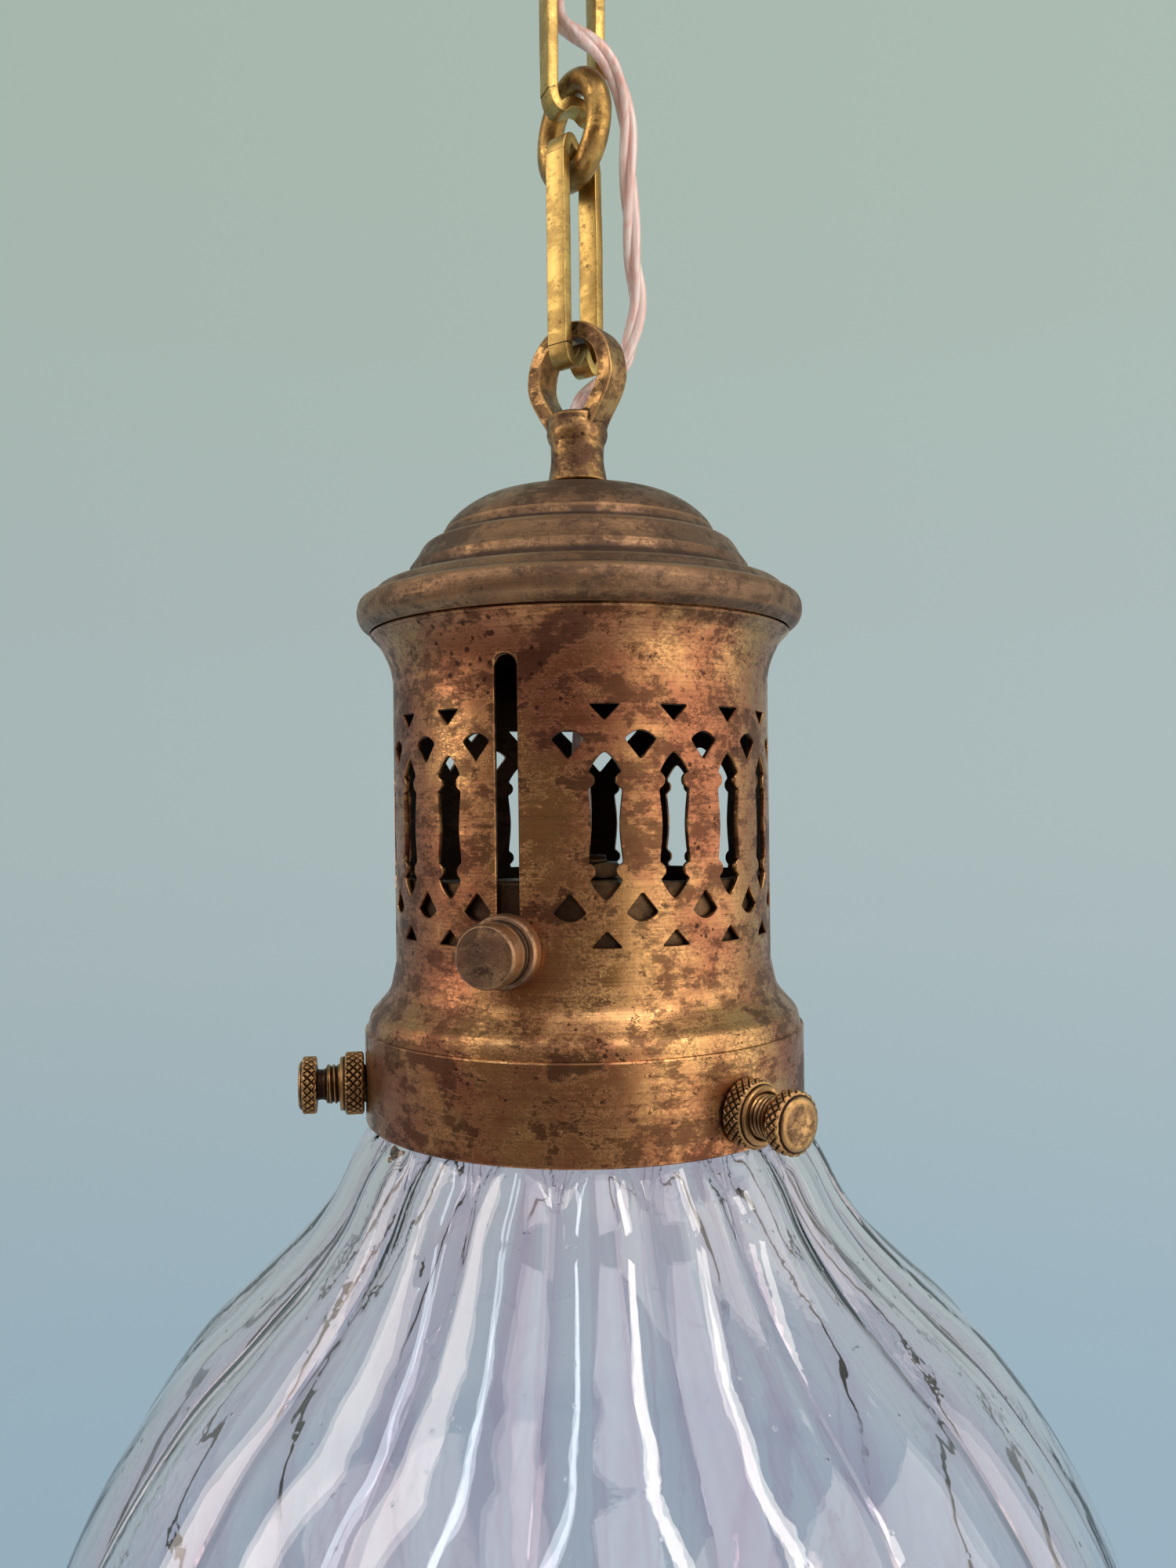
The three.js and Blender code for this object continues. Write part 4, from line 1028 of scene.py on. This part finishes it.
def gallery_outline():
    shoulder = [
        (TUBE_RADIUS + (BAND_RADIUS - TUBE_RADIUS) * out, TUBE_END_Z - 13 * down)
        for out, down in SHOULDER_SHARES
    ]
    flare = [
        (TUBE_RADIUS + (FLARE_RADIUS - TUBE_RADIUS) * out, TUBE_TOP_Z + FLARE_DEPTH * up)
        for out, up in FLARE_SHARES
    ]
    outside = outline(
        [(BAND_RADIUS - 0.3, BAND_END_Z), (BAND_RADIUS, BAND_END_Z + 0.3)],
        [(BAND_RADIUS, BAND_TOP_Z - 0.3), (BAND_RADIUS - 0.15, BAND_TOP_Z)],
        [(BAND_RADIUS - 0.6, BAND_TOP_Z + 0.12), *shoulder[2:]], flare, [(FLARE_RADIUS, FLARE_TOP_Z - 0.1), (FLARE_RADIUS - 0.1, FLARE_TOP_Z)],
    )
    top = [
        (SPIGOT_RADIUS, FLARE_TOP_Z), (SPIGOT_RADIUS, FLARE_TOP_Z + 3.2),
        (SPIGOT_RADIUS - WALL, FLARE_TOP_Z + 3.2), (SPIGOT_RADIUS - WALL, FLARE_TOP_Z - 0.5),
    ]
    inside = [
        (r, z) for r, z in moved_in(outside[:-2], WALL)
        if BAND_END_Z + 0.35 < z < FLARE_TOP_Z - 0.9
    ]
    return [*outside, *top, *inside, (BAND_RADIUS - WALL, BAND_END_Z)]


def softened(points, size, steps=3):
    """An outline with each of its sharp corners cut to a small curve."""
    soft = []
    count = len(points)
    for i, point in enumerate(points):
        here = Vector(point)
        before, after = Vector(points[i - 1]) - here, Vector(points[(i + 1) % count]) - here
        if before.angle(after) > math.radians(150):
            soft.append(here)
            continue
        reach = min(size, 0.4 * before.length, 0.4 * after.length)
        start, end = here + before.normalized() * reach, here + after.normalized() * reach
        for k in range(steps + 1):
            t = k / steps
            soft.append(start * (1 - t) ** 2 + here * 2 * t * (1 - t) + end * t ** 2)
    return soft


def grown(points, by):
    """A closed outline, listed anticlockwise, moved outward all round."""
    return beside([Vector(p) for p in points], by)


def piercing(points, angle, z):
    """A cutter that opens a little at the wall's outer face, as a worn edge does."""
    wide = grown(points, PIERCING_EDGE)
    levels = [
        (points, TUBE_RADIUS - WALL - 3), (points, TUBE_RADIUS - PIERCING_EDGE - 0.05),
        (wide, TUBE_RADIUS + 0.06), (wide, TUBE_RADIUS + 5),
    ]
    bm = lofted([[(p[0], p[1], out) for p in ring] for ring, out in levels])
    return point_outward(bm, angle, z)


def window_ring():
    """The window's outline, anticlockwise from its lower point."""
    quarter = [(WINDOW_WIDE * out, WINDOW_TALL * up) for out, up in WINDOW_SHARES]
    upper = [tuple(p) for p in smooth_run(quarter[:5], 3) + smooth_run(quarter[5:], 3)]
    lower_right = [(x, -y) for x, y in upper]
    upper_right = upper[-2::-1]
    right = lower_right + upper_right
    left = [(-x, y) for x, y in right[-2:0:-1]]
    return right + left


def fan_ring():
    points = [(0, FAN_ROW - FAN_HEIGHT)]
    for i in range(9):
        across = 1 - i / 4
        points.append((FAN_WIDTH / 2 * across, FAN_ROW - FAN_CROWN * across * across))
    return softened(points, 0.45)


def triangle_ring():
    half = TRIANGLE_WIDTH / 2
    points = [(0, TRIANGLE_ROW - TRIANGLE_HEIGHT), (half, TRIANGLE_ROW), (-half, TRIANGLE_ROW)]
    return softened(points, 0.4)


def slot_ring():
    half = SLOT_WIDTH / 2
    points = []
    for i in range(17):
        angle = math.pi * i / 16
        points.append((half * math.cos(angle), SLOT_TOP_Z - half + half * math.sin(angle)))
    for i in range(17):
        angle = math.pi * (1 + i / 16)
        points.append((half * math.cos(angle), SLOT_END_Z + half + half * math.sin(angle)))
    return points


def flipped(points):
    return [(x, -y) for x, y in points][::-1]


def add_gallery():
    """One spun tube, then every opening cut through its wall."""
    cutters = [piercing(slot_ring(), 0, 0)]
    window, fan, triangle = window_ring(), fan_ring(), triangle_ring()
    for i in range(WINDOW_COUNT):
        angle = WINDOW_FIRST + WINDOW_PITCH * i
        cutters += [piercing(ring, angle, WINDOW_Z) for ring in (window, triangle, flipped(triangle))]
    for i in range(WINDOW_COUNT + 1):
        angle = WINDOW_FIRST + WINDOW_PITCH * (i - 0.5)
        cutters += [piercing(ring, angle, WINDOW_Z) for ring in (fan, flipped(fan))]
    for angle in SCREW_ANGLES:
        cutters.append(point_outward(column(4.15, 39, 49), angle, SCREW_Z))
    body = turned(gallery_outline(), 288)
    body = combined(body, joined(cutters), "DIFFERENCE")
    add_piece("pierced_gallery", body, "pendant", "aged_brass", GALLERY_BRASS, ["gallery"], 26, longest=0.9, upright=0.93)


add_gallery()


# ---------------------------------------------------------------- glass shade

LIP_RADIUS = 42.3
NECK_RADIUS = 39.8
GLASS_WALL = 2.8
GLASS_SPREAD = 66.5
GLASS_DEPTH = 187
CREST_SHARES = [
    (0, 0), (0.036, 0.024), (0.111, 0.064), (0.18, 0.112), (0.284, 0.16), (0.439, 0.214),
    (0.623, 0.278), (0.83, 0.39), (0.965, 0.51), (1, 0.636), (0.93, 0.76), (0.72, 0.89), (0.34, 1),
]
FLUTES = 18
FLUTE_DEPTH = 2.3
FLUTE_ARCH = 9
FLUTE_RAMP = 5
FLUTE_FIRST = 4


def flute_drop(x, y, z):
    """How far the glass lies below its crests here: nothing on a lobe, all of it between two."""
    share = (math.degrees(math.atan2(x, -y)) - FLUTE_FIRST) * FLUTES / 360
    share -= round(share)
    arch = GLASS_BODY_Z - FLUTE_ARCH * (2 * share) ** 2
    ramp = min(1, max(0, (arch - z) / FLUTE_RAMP))
    lobe = (1 - abs(2 * share) ** 1.95) * ramp * ramp * (3 - 2 * ramp)
    return FLUTE_DEPTH * (1 - lobe)


def add_glass():
    """A thick blown wall: a plain lip and neck, then lobes that run the whole way down."""
    crest = smooth_run([
        (NECK_RADIUS + GLASS_SPREAD * out, GLASS_BODY_Z - GLASS_DEPTH * down)
        for out, down in CREST_SHARES
    ], 7)
    crest = [tuple(p) for p in crest]
    inner = moved_in(crest, -GLASS_WALL)
    lip_inside = NECK_RADIUS - GLASS_WALL
    neck = outline(
        [(LIP_RADIUS - 0.8, GLASS_TOP_Z), (LIP_RADIUS - 0.2, GLASS_TOP_Z - 0.3),
         (LIP_RADIUS, GLASS_TOP_Z - 0.9)],
        [(LIP_RADIUS, GLASS_NECK_Z + 0.7), (LIP_RADIUS - 0.5, GLASS_NECK_Z + 0.1),
         (NECK_RADIUS + 0.5, GLASS_NECK_Z - 0.1), (NECK_RADIUS, GLASS_NECK_Z - 0.8)],
        steps=4,
    )
    neck += [(NECK_RADIUS, GLASS_NECK_Z - 2.4), (NECK_RADIUS, GLASS_NECK_Z - 4.4)]
    inside = [p for p in inner if p[1] < GLASS_BODY_Z - 1.5]
    inside += [(lip_inside, GLASS_BODY_Z), (lip_inside, GLASS_NECK_Z), (lip_inside + 0.4, GLASS_TOP_Z)]
    bm = turned(neck + crest + inside, FLUTES * 20)
    valley = bm.verts.layers.float.new("valley")
    for v in bm.verts:
        x, y, z = v.co / MM
        radius = math.hypot(x, y)
        if z > GLASS_NECK_Z - 4.5:
            continue
        outside = radius > profile_radius(crest, z) - 0.5 * GLASS_WALL
        full_drop = flute_drop(x, y, z)
        share = (math.degrees(math.atan2(x, -y)) - FLUTE_FIRST) * FLUTES / 360
        # The valley mark is strongest in each flute's valley, where the glass's material paints shade.
        if z < GLASS_BODY_Z - 4:
            v[valley] = abs(2 * (share - round(share))) ** 5
        along = Vector((x / radius, y / radius, z / 900))
        sway = 0.2 * noise.noise(along * 6) + 0.06 * noise.noise(along * 17)
        if not outside:
            sway += 0.12 * noise.noise(along * 12 + Vector((5, 0, 0)))
        sway += 0.03 * noise.noise(v.co * 40)
        fade = min(1, (GLASS_NECK_Z - 4.5 - z) / 8)
        scale = (radius - full_drop + sway * fade) / radius
        v.co.x *= scale
        v.co.y *= scale
    bmesh.ops.recalc_face_normals(bm, faces=bm.faces)
    add_piece("ribbed_shade", bm, "pendant", "shade_glass", SHADE_GLASS, ["glass_shade"], 20)


def profile_radius(points, z):
    """The radius of an outline at a height."""
    for (r0, z0), (r1, z1) in zip(points, points[1:]):
        if min(z0, z1) <= z <= max(z0, z1) and z0 != z1:
            return r0 + (r1 - r0) * (z - z0) / (z1 - z0)
    return points[0][0] if z > points[0][1] else points[-1][0]


add_glass()


# ---------------------------------------------------------------- threads and knurls

def threaded(bm, pitch, depth, low, high, at_least=0.0, at_most=1000.0):
    """Works a screw thread into the skin of a turned body that stands along Z."""
    for v in bm.verts:
        x, y, z = v.co / MM
        radius = math.hypot(x, y)
        if not (low < z < high and at_least < radius < at_most):
            continue
        turn = z / pitch - math.atan2(y, x) / TURN
        wave = 0.5 - 0.5 * math.cos(TURN * turn)
        edge = min(1, (z - low) / pitch, (high - z) / pitch)
        scale = (radius - depth * wave * edge) / radius
        v.co.x *= scale
        v.co.y *= scale
    return bm


def knurled(bm, teeth, pitch, depth, low, high, at_least):
    """Works crossed grooves into the rim of a turned body that stands along Z."""
    for v in bm.verts:
        x, y, z = v.co / MM
        radius = math.hypot(x, y)
        if not (low - 0.01 < z < high + 0.01 and radius > at_least):
            continue
        around = math.atan2(y, x) / TURN * teeth
        one = abs((around + z / pitch) % 1 - 0.5) * 2
        other = abs((around - z / pitch) % 1 - 0.5) * 2
        groove = max(0, 1 - 2.4 * (1 - max(one, other)))
        scale = (radius - depth * groove) / radius
        v.co.x *= scale
        v.co.y *= scale
    return bm


def fine_rows(radius, low, high, step):
    count = max(2, round((high - low) / step))
    return [(radius, low + (high - low) * i / count) for i in range(count + 1)]


# ---------------------------------------------------------------- thumb screws and lock nuts

NUT_INNER = BAND_RADIUS + 0.3
NUT_RADIUS = 6.1
NUT_THICKNESS = 3.7
NUT_STEP = 0.95
NUT_OUTER = NUT_INNER + NUT_THICKNESS + NUT_STEP
SCREW_SHANK = 3.85
SCREW_HEAD = 5.55
SCREW_NECK_START = NUT_OUTER + 2.7
SCREW_HEAD_START = SCREW_NECK_START + 1.8
SCREW_FACE = SCREW_HEAD_START + 2.7


def thumb_screw():
    tip = NECK_RADIUS + 0.3
    shank = LIP_RADIUS + 0.4
    neck, head, face = SCREW_NECK_START, SCREW_HEAD_START, SCREW_FACE
    rim = SCREW_HEAD - 0.35
    points = [
        (0, tip), (2.6, tip), (3.4, tip + 0.8), (3.4, shank), (3.65, shank + 0.05),
        *fine_rows(SCREW_SHANK, shank + 0.3, neck - 0.3, 0.1), (3.45, neck - 0.02), (3.1, neck),
        (3, neck + 0.35), (2.9, 0.5 * (neck + head)), (3, head - 0.25), (3.4, head - 0.02), (rim, head),
        *fine_rows(SCREW_HEAD, head + 0.25, face - 0.2, 0.12), (rim, face + 0.05),
        (4.75, face + 0.12), (4.55, face + 0.5), (4.2, face + 0.72), (3.4, face + 0.78), (0, face + 0.8),
    ]
    bm = turned(points, 168)
    threaded(bm, 0.95, 0.42, shank, neck - 0.1, 3.7, 4.2)
    return knurled(bm, 21, 1.6, 0.4, head + 0.2, face - 0.15, SCREW_HEAD - 0.05)


def lock_nut():
    bore = SCREW_SHANK + 0.25
    high = NUT_INNER + NUT_THICKNESS
    step = NUT_RADIUS - 0.85
    points = [
        (bore, NUT_INNER), (NUT_RADIUS - 0.7, NUT_INNER), (NUT_RADIUS - 0.35, NUT_INNER + 0.1),
        *fine_rows(NUT_RADIUS, NUT_INNER + 0.4, high - 0.4, 0.12), (NUT_RADIUS - 0.35, high - 0.1),
        (NUT_RADIUS - 0.65, high), (step + 0.05, high + 0.02), (step, high + 0.15),
        (step, NUT_OUTER - 0.25), (step - 0.25, NUT_OUTER), (bore + 0.3, NUT_OUTER),
        (bore, NUT_OUTER - 0.3),
    ]
    bm = turned(points, 184)
    return knurled(bm, 23, 1.6, 0.42, NUT_INNER + 0.35, high - 0.35, NUT_RADIUS - 0.05)


for number, angle in enumerate(SCREW_ANGLES, 1):
    turn = Matrix.Rotation(0.7 * number, 3, "Z")
    screw, nut = thumb_screw(), lock_nut()
    for part in (screw, nut):
        bmesh.ops.rotate(part, verts=part.verts, cent=(0, 0, 0), matrix=turn)
        point_outward(part, angle, SCREW_Z)
    add_piece(
        f"knurled_screw_{number}", screw, f"screw_{number}", "aged_brass", SCREW_BRASS,
        [f"thumb_screw_{number}"], 40,
    )
    add_piece(
        f"knurled_nut_{number}", nut, f"nut_{number}", "aged_brass", SCREW_BRASS,
        [f"lock_nut_{number}"], 40,
    )


# ---------------------------------------------------------------- lamp carrier and its knob

SLEEVE_RADIUS = 36.4
SLEEVE_HEIGHT = 19.8
SLEEVE_INNER = 35.2
CLAMP_NUT_FACE = SLEEVE_INNER - 0.3 - 25 / (2 * SLEEVE_INNER)


def add_carrier():
    low, high = SLEEVE_TOP_Z - SLEEVE_HEIGHT, SLEEVE_TOP_Z
    points = outline(
        [(SLEEVE_INNER, low), (SLEEVE_RADIUS - 0.3, low)], [(SLEEVE_RADIUS, low + 0.3),
        (SLEEVE_RADIUS, low + 2)], [(SLEEVE_RADIUS - 0.25, low + 2.3), (SLEEVE_RADIUS, low + 2.6)],
        [(SLEEVE_RADIUS, high - 0.3), (SLEEVE_RADIUS - 0.3, high)], [(SLEEVE_INNER, high)],
    )
    sleeve = turned(points, 192)
    hole = point_outward(column(2.3, 32, 40), 0, KNOB_Z)
    sleeve = combined(sleeve, hole, "DIFFERENCE")
    add_piece(
        "carrier_sleeve_tube", sleeve, "lamp_carrier", "inner_brass", SHADED_INNER_BRASS, ["carrier_sleeve"],
    )
    reach = SLEEVE_INNER - 0.3
    low = SPIDER_TOP_Z - 2
    body = column(11, low, SPIDER_TOP_Z, sides=96)
    for angle in SCREW_ANGLES:
        arm = prism([(-4.5, -reach), (4.5, -reach), (4.5, 0), (-4.5, 0)], low, SPIDER_TOP_Z)
        tab = prism([(-4.5, -reach), (4.5, -reach), (4.5, 4 - reach), (-4.5, 4 - reach)], low - 9, low + 0.3)
        for part in (arm, tab):
            turn_upright(part, angle, 0)
            body = combined(body, part, "UNION")
    body = combined(body, column(reach, low - 10, SPIDER_TOP_Z + 1, sides=192), "INTERSECT")
    body = combined(body, column(5.3, low - 1, SPIDER_TOP_Z + 1), "DIFFERENCE")
    bmesh.ops.remove_doubles(body, verts=body.verts, dist=1e-6)
    round_edges(body, 0.3, 2, 50)
    add_piece(
        "three_armed_spider", body, "lamp_carrier", "inner_brass", SHADED_INNER_BRASS, ["carrier_spider"],
    )


def add_knob():
    back = CLAMP_NUT_FACE - 3.5
    flange = TUBE_RADIUS + 0.3
    groove = flange + 3.2
    button = groove + 1.6
    face = button + 5
    points = outline(
        [(0, back), (1.7, back)], [(2, back + 0.3)], fine_rows(2, back + 0.4, flange - 0.3, 0.12),
        [(2, flange), (6.3, flange)],
        [(6.65, flange + 0.35), (6.65, groove - 0.95)],
        [(6.58, groove - 0.55), (6.3, groove - 0.2), (5.9, groove - 0.02)], [(5.35, groove)],
        [(5.2, groove + 0.15), (5.2, button - 0.12)], [(5.3, button), (5.6, button + 0.3)],
        [(5.6, button + 1.1), (5.48, button + 1.22)], [(5.6, button + 1.34), (5.6, face - 0.9)],
        [(5.52, face - 0.45), (5.25, face - 0.12), (4.8, face)], [(0, face)], steps=3,
    )
    bm = turned(points, 128)
    threaded(bm, 0.7, 0.25, back + 0.3, flange - 0.2, 1.9, 2.2)
    point_outward(bm, 0, KNOB_Z)
    add_piece("stepped_knob", bm, "knob", "aged_brass", KNOB_BRASS, ["clamp_knob"], 40)
    nut = turned([
        (2.25, back), (4.7, back), (5, back + 0.3), (5, CLAMP_NUT_FACE - 0.3), (4.7, CLAMP_NUT_FACE),
        (2.25, CLAMP_NUT_FACE),
    ], 72)
    point_outward(nut, 0, KNOB_Z)
    add_piece("clamp_nut_disc", nut, "lamp_carrier", "inner_brass", SHADED_INNER_BRASS, ["clamp_nut"])


add_carrier()
add_knob()


# ---------------------------------------------------------------- lamp holder

HOLDER_RADIUS = 19.5
HOLDER_WALL = 0.9
HOLDER_TOP_Z = SPIDER_TOP_Z - 2.3
HOLDER_JOIN_Z = HOLDER_TOP_Z - 16
HOLDER_END_Z = HOLDER_JOIN_Z - 0.3 - 27
NIPPLE_END_Z = NIPPLE_TOP_Z - 14
INSERT_TOP_Z = NIPPLE_END_Z - 0.3
INSERT_END_Z = INSERT_TOP_Z - 9
LAMP_SHELL_RADIUS = 13.9


def add_holder():
    nipple = turned([
        (3.2, NIPPLE_END_Z + 0.3), (3.5, NIPPLE_END_Z), (4.7, NIPPLE_END_Z),
        *fine_rows(5, NIPPLE_END_Z + 0.3, NIPPLE_TOP_Z - 0.3, 0.15), (4.7, NIPPLE_TOP_Z),
        (3.5, NIPPLE_TOP_Z), (3.2, NIPPLE_TOP_Z - 0.3),
    ], 96)
    threaded(nipple, 1.0, 0.35, NIPPLE_END_Z + 0.2, NIPPLE_TOP_Z - 0.2, 4.9, 5.1)
    nut = hex_nut(14, 3, 5.25)
    bmesh.ops.translate(nut, verts=nut.verts, vec=(0, 0, (SPIDER_TOP_Z + 0.3) * MM))
    dome = outline(
        [(HOLDER_RADIUS, HOLDER_JOIN_Z), (HOLDER_RADIUS, HOLDER_JOIN_Z + 1.2)],
        [(19.1, HOLDER_JOIN_Z + 1.5)],
        [(19.4, HOLDER_JOIN_Z + 1.9), (19.3, HOLDER_JOIN_Z + 7.2), (18.33, HOLDER_JOIN_Z + 10.56),
         (14.8, HOLDER_JOIN_Z + 13.76), (9.75, HOLDER_TOP_Z - 0.2), (7, HOLDER_TOP_Z)],
        [(5.3, HOLDER_TOP_Z)],
    )
    dome += [(max(r, 5.3), z) for r, z in moved_in(dome, HOLDER_WALL) if z >= HOLDER_JOIN_Z]
    top = HOLDER_JOIN_Z - 0.3
    spigot = HOLDER_RADIUS - HOLDER_WALL - 0.3
    inner = spigot - HOLDER_WALL
    shell = outline(
        [(inner - 2, HOLDER_END_Z), (18.6, HOLDER_END_Z)], [(19.2, HOLDER_END_Z + 0.25),
        (19.5, HOLDER_END_Z + 0.9)], [(19.5, HOLDER_END_Z + 3)],
        [(19.2, HOLDER_END_Z + 3.4), (19.2, HOLDER_END_Z + 4.2)], [(19.5, HOLDER_END_Z + 4.6)],
        [(19.5, top - 3)], [(19.2, top - 2.6), (19.5, top - 2.2)], [(19.5, top - 0.2)],
        [(19.3, top), (spigot, top)], [(spigot, top + 4), (inner, top + 4)],
        [(inner, HOLDER_END_Z + 0.9), (inner - 2, HOLDER_END_Z + 0.9)],
    )
    reach = HOLDER_RADIUS - 2 * HOLDER_WALL - 0.6
    insert = turned(outline(
        [(0, INSERT_END_Z), (reach - 0.5, INSERT_END_Z)], [(reach, INSERT_END_Z + 0.5),
        (reach, INSERT_END_Z + 3.5)], [(reach - 0.6, INSERT_END_Z + 4.2), (9.6, INSERT_TOP_Z - 0.6)],
        [(9, INSERT_TOP_Z), (0, INSERT_TOP_Z)],
    ), 96)
    slot = prism([(-1.5, -21), (1.5, -21), (1.5, 21), (-1.5, 21)], INSERT_TOP_Z - 2.5, INSERT_TOP_Z + 4)
    insert = combined(insert, slot, "DIFFERENCE")
    shell_top = INSERT_END_Z - 0.3
    lamp_shell = turned([
        (13.5, shell_top - 23), (13.9, shell_top - 22.9),
        *fine_rows(LAMP_SHELL_RADIUS, shell_top - 22.5, shell_top - 1, 0.3), (13.5, shell_top - 0.3),
        (13, shell_top), (7.2, shell_top), (7.2, shell_top - 0.6), (12.7, shell_top - 0.6),
        *fine_rows(LAMP_SHELL_RADIUS - 0.6, shell_top - 22.7, shell_top - 1.2, 0.3)[::-1],
    ], 128)
    threaded(lamp_shell, 3.6, 0.75, shell_top - 22, shell_top - 1.5, 13, 14.2)
    contact = turned(outline(
        [(0, shell_top - 3.8), (2, shell_top - 3.75), (3.2, shell_top - 3.5)],
        [(3.6, shell_top - 3.1)], [(3.4, shell_top - 3), (1.5, shell_top - 3)],
        [(1.5, shell_top), (0, shell_top)],
    ), 64)
    for name, bm, slot_name, material, node in (
        ("threaded_nipple", nipple, "inner_brass", SHADED_INNER_BRASS, "holder_nipple"),
        ("nipple_lock_nut", nut, "inner_brass", SHADED_INNER_BRASS, "nipple_nut"),
        ("holder_cap", turned(dome, 128), "inner_brass", SHADED_INNER_BRASS, "holder_dome"),
        ("holder_skirt", turned(shell, 128), "inner_brass", SHADED_INNER_BRASS, "holder_shell"),
        ("holder_insert", insert, "porcelain", PORCELAIN, "porcelain_insert"),
        ("screw_shell", lamp_shell, "link_brass", LINK_BRASS, "lamp_shell"),
        ("centre_contact_disc", contact, "link_brass", LINK_BRASS, "centre_contact"),
    ):
        add_piece(name, bm, "lamp_carrier", slot_name, material, [node], 40)


add_holder()


# ---------------------------------------------------------------- floor, backdrop and lights

FLOOR_Z = -0.75
FLOOR_RADIUS = 0.55
WALL_HIGH = (0.397, 0.485, 0.434)
WALL_MIDDLE = (0.4, 0.482, 0.488)
WALL_LOW = (0.315, 0.436, 0.52)
ROOM = (0.145, 0.102, 0.09)
ROOM_BELOW = (0.5, 0.48, 0.54)


def add_floor():
    """A pale round floor under the lamp that fades out at its edge."""
    bm = bmesh.new()
    bmesh.ops.create_circle(bm, cap_ends=True, segments=96, radius=FLOOR_RADIUS)
    bmesh.ops.translate(bm, verts=bm.verts, vec=(0, 0, FLOOR_Z))
    floor = bpy.data.objects.new("studio_floor", mesh_of(bm, "studio_floor"))
    bpy.context.scene.collection.objects.link(floor)
    material, tree, shader = new_material("floor_paper")
    place = new_node(tree, "TexCoord").outputs["Object"]
    paper = mixed(tree, noise_at(tree, place, 5, 3), (0.62, 0.66, 0.64, 1), (0.68, 0.71, 0.69, 1))
    tree.links.new(paper, shader.inputs["Base Color"])
    shader.inputs["Roughness"].default_value = 0.75
    flat = new_node(tree, "VectorMath", {0: place, 1: (1, 1, 0)}, operation="MULTIPLY").outputs["Vector"]
    reach = new_node(tree, "VectorMath", {0: flat}, operation="LENGTH").outputs["Value"]
    fade = calc(tree, "SUBTRACT", 1, eased(tree, reach, FLOOR_RADIUS * 0.6, FLOOR_RADIUS))
    tree.links.new(fade, shader.inputs["Alpha"])
    floor.data.materials.append(material)


def add_backdrop():
    """The painted wall behind the lamp, sage above and bluer towards the lower right."""
    world = bpy.data.worlds.new("painted_wall")
    bpy.context.scene.world = world
    world.use_nodes = True
    tree = world.node_tree
    tree.nodes.clear()
    way = new_node(tree, "TexCoord").outputs["Generated"]
    east, north, up = new_node(tree, "SeparateXYZ", {0: way}).outputs
    turn = math.radians(CAMERA_ANGLE)
    right = calc(tree, "ADD", calc(tree, "MULTIPLY", east, math.cos(turn)), calc(tree, "MULTIPLY", north, math.sin(turn)))
    away = calc(tree, "SUBTRACT", calc(tree, "MULTIPLY", north, math.cos(turn)), calc(tree, "MULTIPLY", east, math.sin(turn)))
    wall = mixed(tree, eased(tree, up, 0.5, 0.02), (*WALL_HIGH, 1), (*WALL_MIDDLE, 1))
    wall = mixed(tree, eased(tree, up, 0.02, -0.5), wall, (*WALL_LOW, 1))
    lift = calc(tree, "MULTIPLY_ADD", right, 0.08, 1.0)
    wall = new_node(tree, "VectorMath", {0: wall, "Scale": lift}, operation="SCALE").outputs["Vector"]
    room = mixed(tree, eased(tree, up, -0.34, -0.6), (*ROOM, 1), (*ROOM_BELOW, 1))
    room = mixed(tree, eased(tree, away, -0.05, 0.3), room, wall)
    path = new_node(tree, "LightPath").outputs
    direct = calc(tree, "MAXIMUM", path["Is Camera Ray"], path["Is Transmission Ray"])
    soft = mixed(tree, path["Is Glossy Ray"], (0.5, 0.54, 0.55, 1), room)
    colour = mixed(tree, direct, soft, wall)
    back = new_node(tree, "Background", {"Color": colour, "Strength": 1.0})
    output = tree.nodes.new("ShaderNodeOutputWorld")
    tree.links.new(back.outputs["Background"], output.inputs["Surface"])


def add_panel(name, angle, away, height, wide, tall, watts, colour, aim_z=-0.24):
    """A soft light panel that faces the lamp."""
    data = bpy.data.lights.new(name, "AREA")
    data.shape = "RECTANGLE"
    data.size = wide
    data.size_y = tall
    data.energy = watts
    data.color = colour
    panel = bpy.data.objects.new(name, data)
    bpy.context.scene.collection.objects.link(panel)
    x, y = place_at(away, angle)
    spot = Vector((x, y, height))
    turn = (Vector((0, 0, aim_z)) - spot).to_track_quat("-Z", "Y").to_matrix().to_4x4()
    panel.matrix_world = Matrix.Translation(spot) @ turn


add_floor()
add_backdrop()
add_panel("right_window", CAMERA_ANGLE + 64, 1.0, -0.2, 1.45, 1.3, 9.5, (1, 0.94, 0.86))
add_panel("left_window", CAMERA_ANGLE - 80, 1.0, 0.2, 0.34, 1.0, 4.2, (1, 0.88, 0.8))
add_panel("high_light", CAMERA_ANGLE + 15, 0.9, 0.75, 0.8, 0.8, 4, (1, 0.95, 0.97))
add_panel("high_strip_left", CAMERA_ANGLE - 42, 0.75, 0.5, 0.08, 0.8, 1.5, (0.84, 0.92, 1))
add_panel("high_strip_right", CAMERA_ANGLE + 48, 0.75, 0.5, 0.13, 0.8, 2.8, (1, 0.93, 0.85))


# ---------------------------------------------------------------- view transform

scene = bpy.context.scene
scene.view_settings.view_transform = "Standard"
